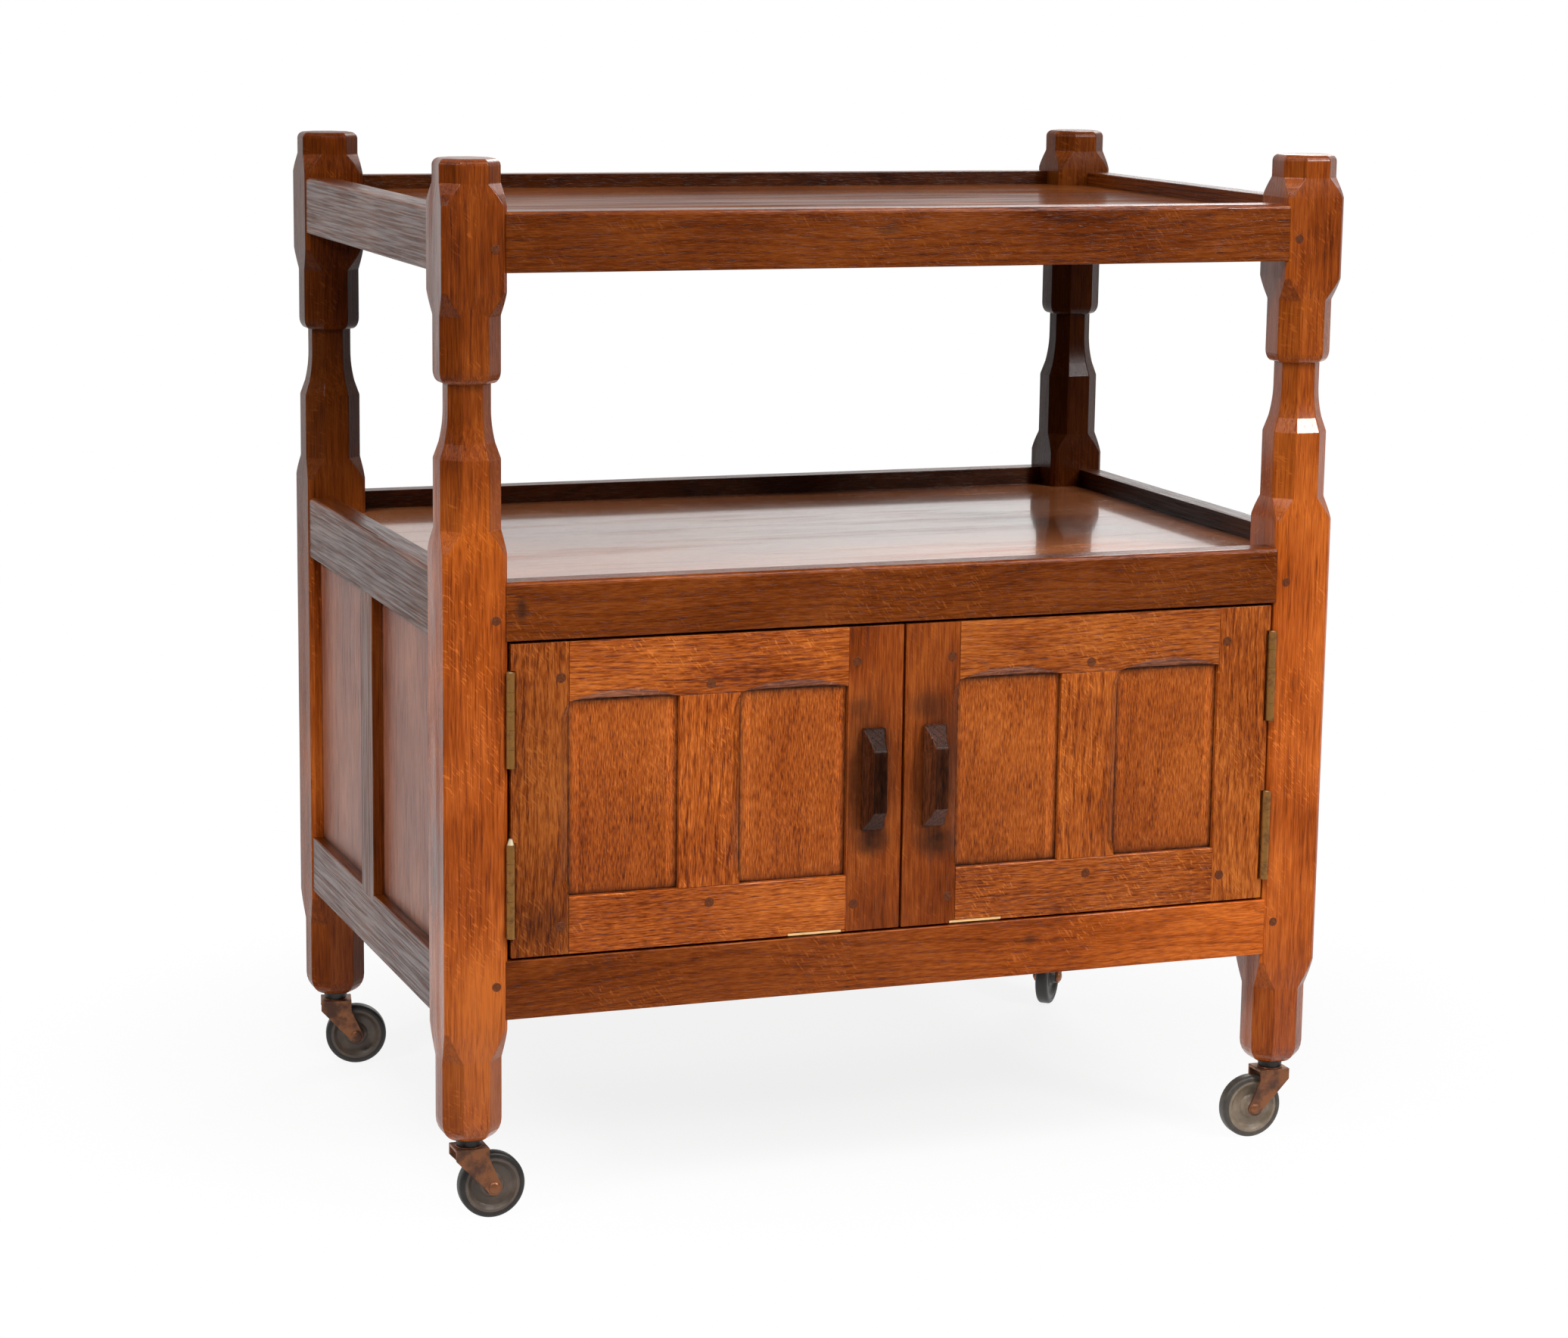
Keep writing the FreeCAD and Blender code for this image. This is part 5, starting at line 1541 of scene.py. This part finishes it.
@dataclass
class Castor:
    """A swivel castor: tyre, wheel disc, and pressed fork with its rivet."""

    corner: str
    paints: Paints
    tyre_radius: float = 0.027
    tyre_width: float = 0.012
    tyre_depth: float = 0.0045
    tyre_round: float = 0.003
    tyre_steps: int = 5
    rim_inset: float = 0.0004
    rim_break: float = 0.0005
    edge_break: float = 0.0006
    flange: float = 0.003
    web: float = 0.005
    web_radii: tuple[float, float] = (0.0105, 0.0165)
    step_radius: float = 0.0175
    hub_width: float = 0.0184
    hub_radius: float = 0.0065
    hub_foot: float = 0.0012
    dish: tuple[float, float] = (0.0048, 0.0038)
    dish_radius: float = 0.0095
    axle_radius: float = 0.003
    bore_play: float = 0.0003
    cheek_gap: float = 0.019
    cheek: float = 0.0025
    cheek_end: float = 0.0065
    cheek_back: float = -0.013
    cheek_ahead: float = 0.014
    cheek_start: float = 200.0
    cheek_sweep: float = 160.0
    cheek_steps: int = 8
    shoulder_drop: float = 0.0092
    plate_shift: float = 0.0005
    plate_length: float = 0.027
    plate_overlap: float = 0.0002
    plate_thickness: float = 0.0025
    rivet_radius: float = 0.005
    rivet_height: float = 0.0022
    rivet_steps: int = 6
    crown_rise: float = 0.001
    crown_radii: tuple[float, float] = (0.011, 0.0105)
    crown_sides: int = 32
    spin_steps: int = 56
    fork_rounding: Arris = Arris(0.0005, 2, math.radians(40.0))

    def __post_init__(self) -> None:
        """Read the stem, the axle and the heading from the frame's joints."""
        joints = {joint["name"]: joint for joint in frame["joints"]}
        self.axle = Vector(joints["castor_wheel_" + self.corner]["pos_m"])
        self.stem = Vector(joints["castor_swivel_" + self.corner]["pos_m"])
        trail = self.axle - self.stem
        self.trail = math.hypot(trail.x, trail.y)
        self.turn = Matrix.Rotation(math.atan2(trail.y, trail.x), 4, "Z")

    def build(self) -> None:
        """Make the castor."""
        self._tyre()
        self._disc()
        self._fork()

    def _lathe(self, outline: Iterable[tuple[float, float]]) -> bmesh.types.BMesh:
        """Turn a closed outline of (offset along the axle, radius) points round the axle.

        Args:
            outline: The profile's corners.

        Returns:
            The turned mesh, in place.
        """
        bm = bmesh.new()
        verts = [bm.verts.new((0.0, offset, radius)) for offset, radius in outline]
        edges = [bm.edges.new((verts[index - 1], verts[index])) for index in range(len(verts))]
        bmesh.ops.spin(bm, geom=verts + edges, cent=(0.0, 0.0, 0.0), axis=(0.0, 1.0, 0.0), angle=math.tau,
                       steps=self.spin_steps, use_merge=True, use_duplicate=False)
        bmesh.ops.remove_doubles(bm, verts=bm.verts, dist=MERGE)
        bmesh.ops.recalc_face_normals(bm, faces=bm.faces)
        bmesh.ops.transform(bm, matrix=Matrix.Translation(self.axle) @ self.turn, verts=bm.verts)
        return bm

    def _wheel_place(self, part: str, slot: str) -> Place:
        """Where a piece of the wheel belongs."""
        return Place("castor_wheel_" + self.corner, (f"castor_{part}_{self.corner}",), slot)

    def _tyre(self) -> None:
        """The tyre, with rounded shoulders."""
        half, inner = self.tyre_width / 2, self.tyre_radius - self.tyre_depth
        outline = [(-half, inner)]
        outline += [(-half + self.tyre_round * (1 - math.cos(turn)),
                     self.tyre_radius - self.tyre_round * (1 - math.sin(turn)))
                    for turn in quarter_turns(self.tyre_steps)]
        outline += [(-offset, radius) for offset, radius in reversed(outline)]
        make_piece(self._lathe(outline), "tyre_" + self.corner, self._wheel_place("tyre", "tyre"),
                   self.paints[CASTOR_PAINTS[self.corner][0]], None)

    def _disc(self) -> None:
        """The disc: hub, dished web with a turned step, and the raised rim inside the tyre."""
        rim = self.tyre_radius - self.tyre_depth
        rim_half = self.tyre_width / 2 - self.rim_inset
        hub, web, edge = self.hub_width / 2, self.web / 2, self.edge_break
        half = [(hub, self.axle_radius + self.bore_play), (hub, self.hub_radius - edge),
                (hub - edge, self.hub_radius), (self.dish[0], self.hub_radius + self.hub_foot),
                (self.dish[1], self.dish_radius), (web, self.web_radii[0]), (web, self.web_radii[1]),
                (web + edge, self.step_radius), (rim_half - self.rim_break, rim - self.flange),
                (rim_half, rim - self.flange + edge), (rim_half, rim)]
        outline = half + [(-offset, radius) for offset, radius in reversed(half)]
        make_piece(self._lathe(outline), "wheel_disc_" + self.corner, self._wheel_place("disc", "castor_disc"),
                   self.paints[CASTOR_PAINTS[self.corner][1]], None)

    def _fork(self) -> None:
        """The fork, pressed from one plate, and the domed rivet through it."""
        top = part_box("castor_fork_" + self.corner)[1].z - self.crown_rise - self.stem.z
        bm = bmesh.new()
        outer = self.cheek_gap / 2 + self.cheek
        for inner in (-outer, self.cheek_gap / 2):
            face = bm.faces.new([bm.verts.new((x, inner, z)) for x, z in self._cheek_outline(top)])
            grown = bmesh.ops.extrude_face_region(bm, geom=[face])["geom"]
            verts = [item for item in grown if isinstance(item, bmesh.types.BMVert)]
            bmesh.ops.translate(bm, vec=(0.0, self.cheek, 0.0), verts=verts)
        plate = Matrix.Diagonal((self.plate_length, self.cheek_gap + self.plate_overlap,
                                 self.plate_thickness, 1.0))
        centre = Matrix.Translation((self.plate_shift, 0.0, top - self.plate_thickness / 2))
        bmesh.ops.create_cube(bm, size=1.0, matrix=centre @ plate)
        bmesh.ops.create_cone(bm, cap_ends=True, segments=self.crown_sides, radius1=self.crown_radii[0],
                              radius2=self.crown_radii[1], depth=self.crown_rise,
                              matrix=Matrix.Translation((0.0, 0.0, top + self.crown_rise / 2)))
        bmesh.ops.recalc_face_normals(bm, faces=bm.faces)
        bmesh.ops.transform(bm, matrix=Matrix.Translation(self.stem) @ self.turn, verts=bm.verts)
        place = Place("castor_swivel_" + self.corner, ("castor_fork_" + self.corner,), "castor_fork")
        make_piece(bm, "fork_" + self.corner, place, self.paints["fork"], self.fork_rounding)
        dome = [(outer + self.rivet_height * math.cos(turn), max(self.rivet_radius * math.sin(turn), MERGE * 10))
                for turn in quarter_turns(self.rivet_steps)]
        outline = dome + [(outer, self.axle_radius), (-outer, self.axle_radius)]
        outline += [(-offset, radius) for offset, radius in reversed(dome)]
        make_piece(self._lathe(outline), "rivet_" + self.corner, place, self.paints["fork"], None)

    def _cheek_outline(self, top: float) -> list[tuple[float, float]]:
        """Corners of a cheek, from its upper back corner round the axle.

        Args:
            top: The cheek's upper edge, over the stem's point.

        Returns:
            Places ahead of the stem and over it.
        """
        shoulder, axle = top - self.shoulder_drop, self.axle.z - self.stem.z
        corners = [(self.cheek_back, top), (self.cheek_back, shoulder)]
        for step in range(self.cheek_steps + 1):
            turn = math.radians(self.cheek_start + self.cheek_sweep * step / self.cheek_steps)
            corners.append((self.trail + self.cheek_end * math.cos(turn), axle + self.cheek_end * math.sin(turn)))
        return corners + [(self.cheek_ahead, shoulder), (self.cheek_ahead, top)]


# Stage.


@dataclass(frozen=True)
class SoftBox:
    """A studio lamp: a large soft square panel."""

    name: str
    place: Triple
    size: float
    watts: float


@dataclass
class Studio:
    """Camera, floor, world and lamps."""

    camera_place: Triple = (-1.099, -2.915, 0.971)
    yaw: float = math.radians(20.42)
    pitch: float = math.radians(-10.65)
    roll: float = math.radians(0.77)
    focal_pixels: float = 4868.0
    image_width: float = 2072.0
    sensor: float = 36.0
    target: Triple = (0.0, 0.0, 0.45)
    room: float = 0.04
    ambient: float = 0.12
    left_dim: float = 0.30
    floor_size: float = 14.0
    floor_paint: Triple = (0.8, 0.8, 0.8)
    floor_roughness: float = 0.9
    shadow_centre: Triple = (0.05, 0.2, 0.0)
    shadow_reach: Triple = (0.62, 0.5, 1.0)
    shadow_edge: tuple[float, float] = (0.35, 1.25)
    shadow_share: float = 0.155
    floor_behind: tuple[float, float] = (-0.9, -0.2)
    floor_left: tuple[float, float] = (-1.0, 0.2)
    wall_behind: tuple[float, float] = (-0.15, 0.2)
    wall_left: tuple[float, float] = (0.26, 0.40)
    wall_top: tuple[float, float] = (0.55, 0.95)
    wall_top_dim: float = 0.6
    lamps: tuple[SoftBox, ...] = (
        SoftBox("front_left_high", (-0.9, -1.8, 3.0), 1.1, 34.0),
        SoftBox("front_right_high", (1.2, -1.8, 2.9), 1.1, 34.0),
        SoftBox("front_right_low", (1.75, -2.6, 1.9), 0.45, 36.0),
        SoftBox("left", (-2.2, -1.05, 1.95), 0.4, 21.5),
        SoftBox("left_high", (-1.35, -0.74, 2.8), 0.35, 9.0),
        SoftBox("back_left", (-2.0, 1.8, 2.3), 1.2, 10.0),
        SoftBox("back_right", (1.8, 2.2, 2.2), 1.2, 26.0),
    )

    def build(self) -> None:
        """Set up the whole stage."""
        self._camera()
        self._floor()
        self._world()
        for lamp in self.lamps:
            self._lamp(lamp)
        bpy.context.scene.view_settings.view_transform = "Standard"

    def _camera(self) -> None:
        """The photograph's viewpoint, solved from the object's parallel edges."""
        ahead = Vector((math.sin(self.yaw) * math.cos(self.pitch), math.cos(self.yaw) * math.cos(self.pitch),
                        math.sin(self.pitch)))
        right = ahead.cross(Vector((0.0, 0.0, 1.0))).normalized()
        up = right.cross(ahead)
        tilted_right = right * math.cos(self.roll) + up * math.sin(self.roll)
        tilted_up = up * math.cos(self.roll) - right * math.sin(self.roll)
        data = bpy.data.cameras.new("camera")
        data.sensor_width = self.sensor
        data.lens = self.focal_pixels / self.image_width * self.sensor
        camera = bpy.data.objects.new("camera", data)
        turn = Matrix((tilted_right, tilted_up, -ahead)).transposed()
        camera.matrix_world = Matrix.Translation(self.camera_place) @ turn.to_4x4()
        bpy.context.scene.collection.objects.link(camera)
        bpy.context.scene.camera = camera

    def _left_dimmed(self, recipe: Recipe, x: Shade, edge: tuple[float, float]) -> Shade:
        """How bright a mirrored place is, darker on the left."""
        return recipe.ease(x, *edge) * self.left_dim + (1.0 - self.left_dim)

    def _floor(self) -> None:
        """A plain white floor that keeps the trolley's shadow."""
        bm = bmesh.new()
        bmesh.ops.create_grid(bm, x_segments=1, y_segments=1, size=self.floor_size / 2)
        mesh = bpy.data.meshes.new("floor")
        bm.to_mesh(mesh)
        bm.free()
        material, recipe, shader = new_material("floor_white")
        recipe.fill(shader, {"Base Color": self.floor_paint, "Roughness": self.floor_roughness,
                             "Specular IOR Level": 0.0})
        glow, gloom = recipe.glow(1.0), recipe.glow(self.room)
        path = recipe.add("ShaderNodeLightPath").outputs
        here = recipe.object_point()
        away = recipe.away(here, self.shadow_centre, self.shadow_reach)
        shown = recipe.ease(away, *self.shadow_edge) * self.shadow_share + (1.0 - self.shadow_share)
        seen = Shade(recipe, path["Is Camera Ray"]) * shown
        x, y, _ = recipe.axes(here)
        behind = recipe.ease(y, *self.floor_behind) * self._left_dimmed(recipe, x, self.floor_left)
        lit = recipe.mix(seen, shader.outputs[0], glow)
        mixed = recipe.mix(path["Is Glossy Ray"], lit, recipe.mix(behind, gloom, glow))
        recipe.tree.links.new(mixed, recipe.tree.nodes["Material Output"].inputs["Surface"])
        mesh.materials.append(material)
        floor = bpy.data.objects.new("floor", mesh)
        bpy.context.scene.collection.objects.link(floor)

    def _world(self) -> None:
        """White to the camera; reflections see white behind and a dim room in front."""
        world = bpy.data.worlds.new("studio")
        bpy.context.scene.world = world
        world.use_nodes = True
        recipe = Recipe(world.node_tree)
        path = recipe.add("ShaderNodeLightPath").outputs
        x, y, z = recipe.axes(recipe.add("ShaderNodeTexCoord").outputs["Generated"])
        behind = recipe.ease(y, *self.wall_behind) * (1.0 - recipe.ease(z, *self.wall_top) * self.wall_top_dim)
        gloss = behind * self._left_dimmed(recipe, x, self.wall_left) * (1.0 - self.room) + self.room
        camera, glossy = Shade(recipe, path["Is Camera Ray"]), Shade(recipe, path["Is Glossy Ray"])
        strength = camera + (1.0 - camera) * (glossy * gloss + (1.0 - glossy) * self.ambient)
        recipe.fill(world.node_tree.nodes["Background"], {"Color": (1.0, 1.0, 1.0), "Strength": strength})

    def _lamp(self, lamp: SoftBox) -> None:
        """Hang one lamp and aim it at the trolley.

        Args:
            lamp: The lamp.
        """
        data = bpy.data.lights.new(lamp.name, "AREA")
        data.shape = "RECTANGLE"
        data.size = data.size_y = lamp.size
        data.energy = lamp.watts
        light = bpy.data.objects.new(lamp.name, data)
        place = Vector(lamp.place)
        light.rotation_euler = (Vector(self.target) - place).to_track_quat("-Z", "Y").to_euler()
        light.location = place
        bpy.context.scene.collection.objects.link(light)


# Assembly.


def repaint(pattern: str, material: bpy.types.Material) -> None:
    """Give CAD nodes that keep their own shape a better finish.

    Args:
        pattern: What their names hold.
        material: The finish.
    """
    for name, node in frame["nodes"].items():
        if pattern in name:
            for slot in node.material_slots:
                slot.material = material
            LOG.info("repainted %s", name)


def main() -> None:
    """Build the dressed trolley and its stage."""
    logging.basicConfig(level=logging.INFO, format="%(name)s: %(message)s")
    Studio().build()
    paints = {key: finish.build() for key, finish in FINISHES.items()}
    Carcase(paints).build()
    for hand in Hand:
        PanelledDoor(hand, paints).build()
    for corner in CASTOR_PAINTS:
        Castor(corner, paints).build()
    for pattern, paint in KEPT_NODES.items():
        repaint(pattern, paints[paint])


if __name__ == "__main__":
    main()
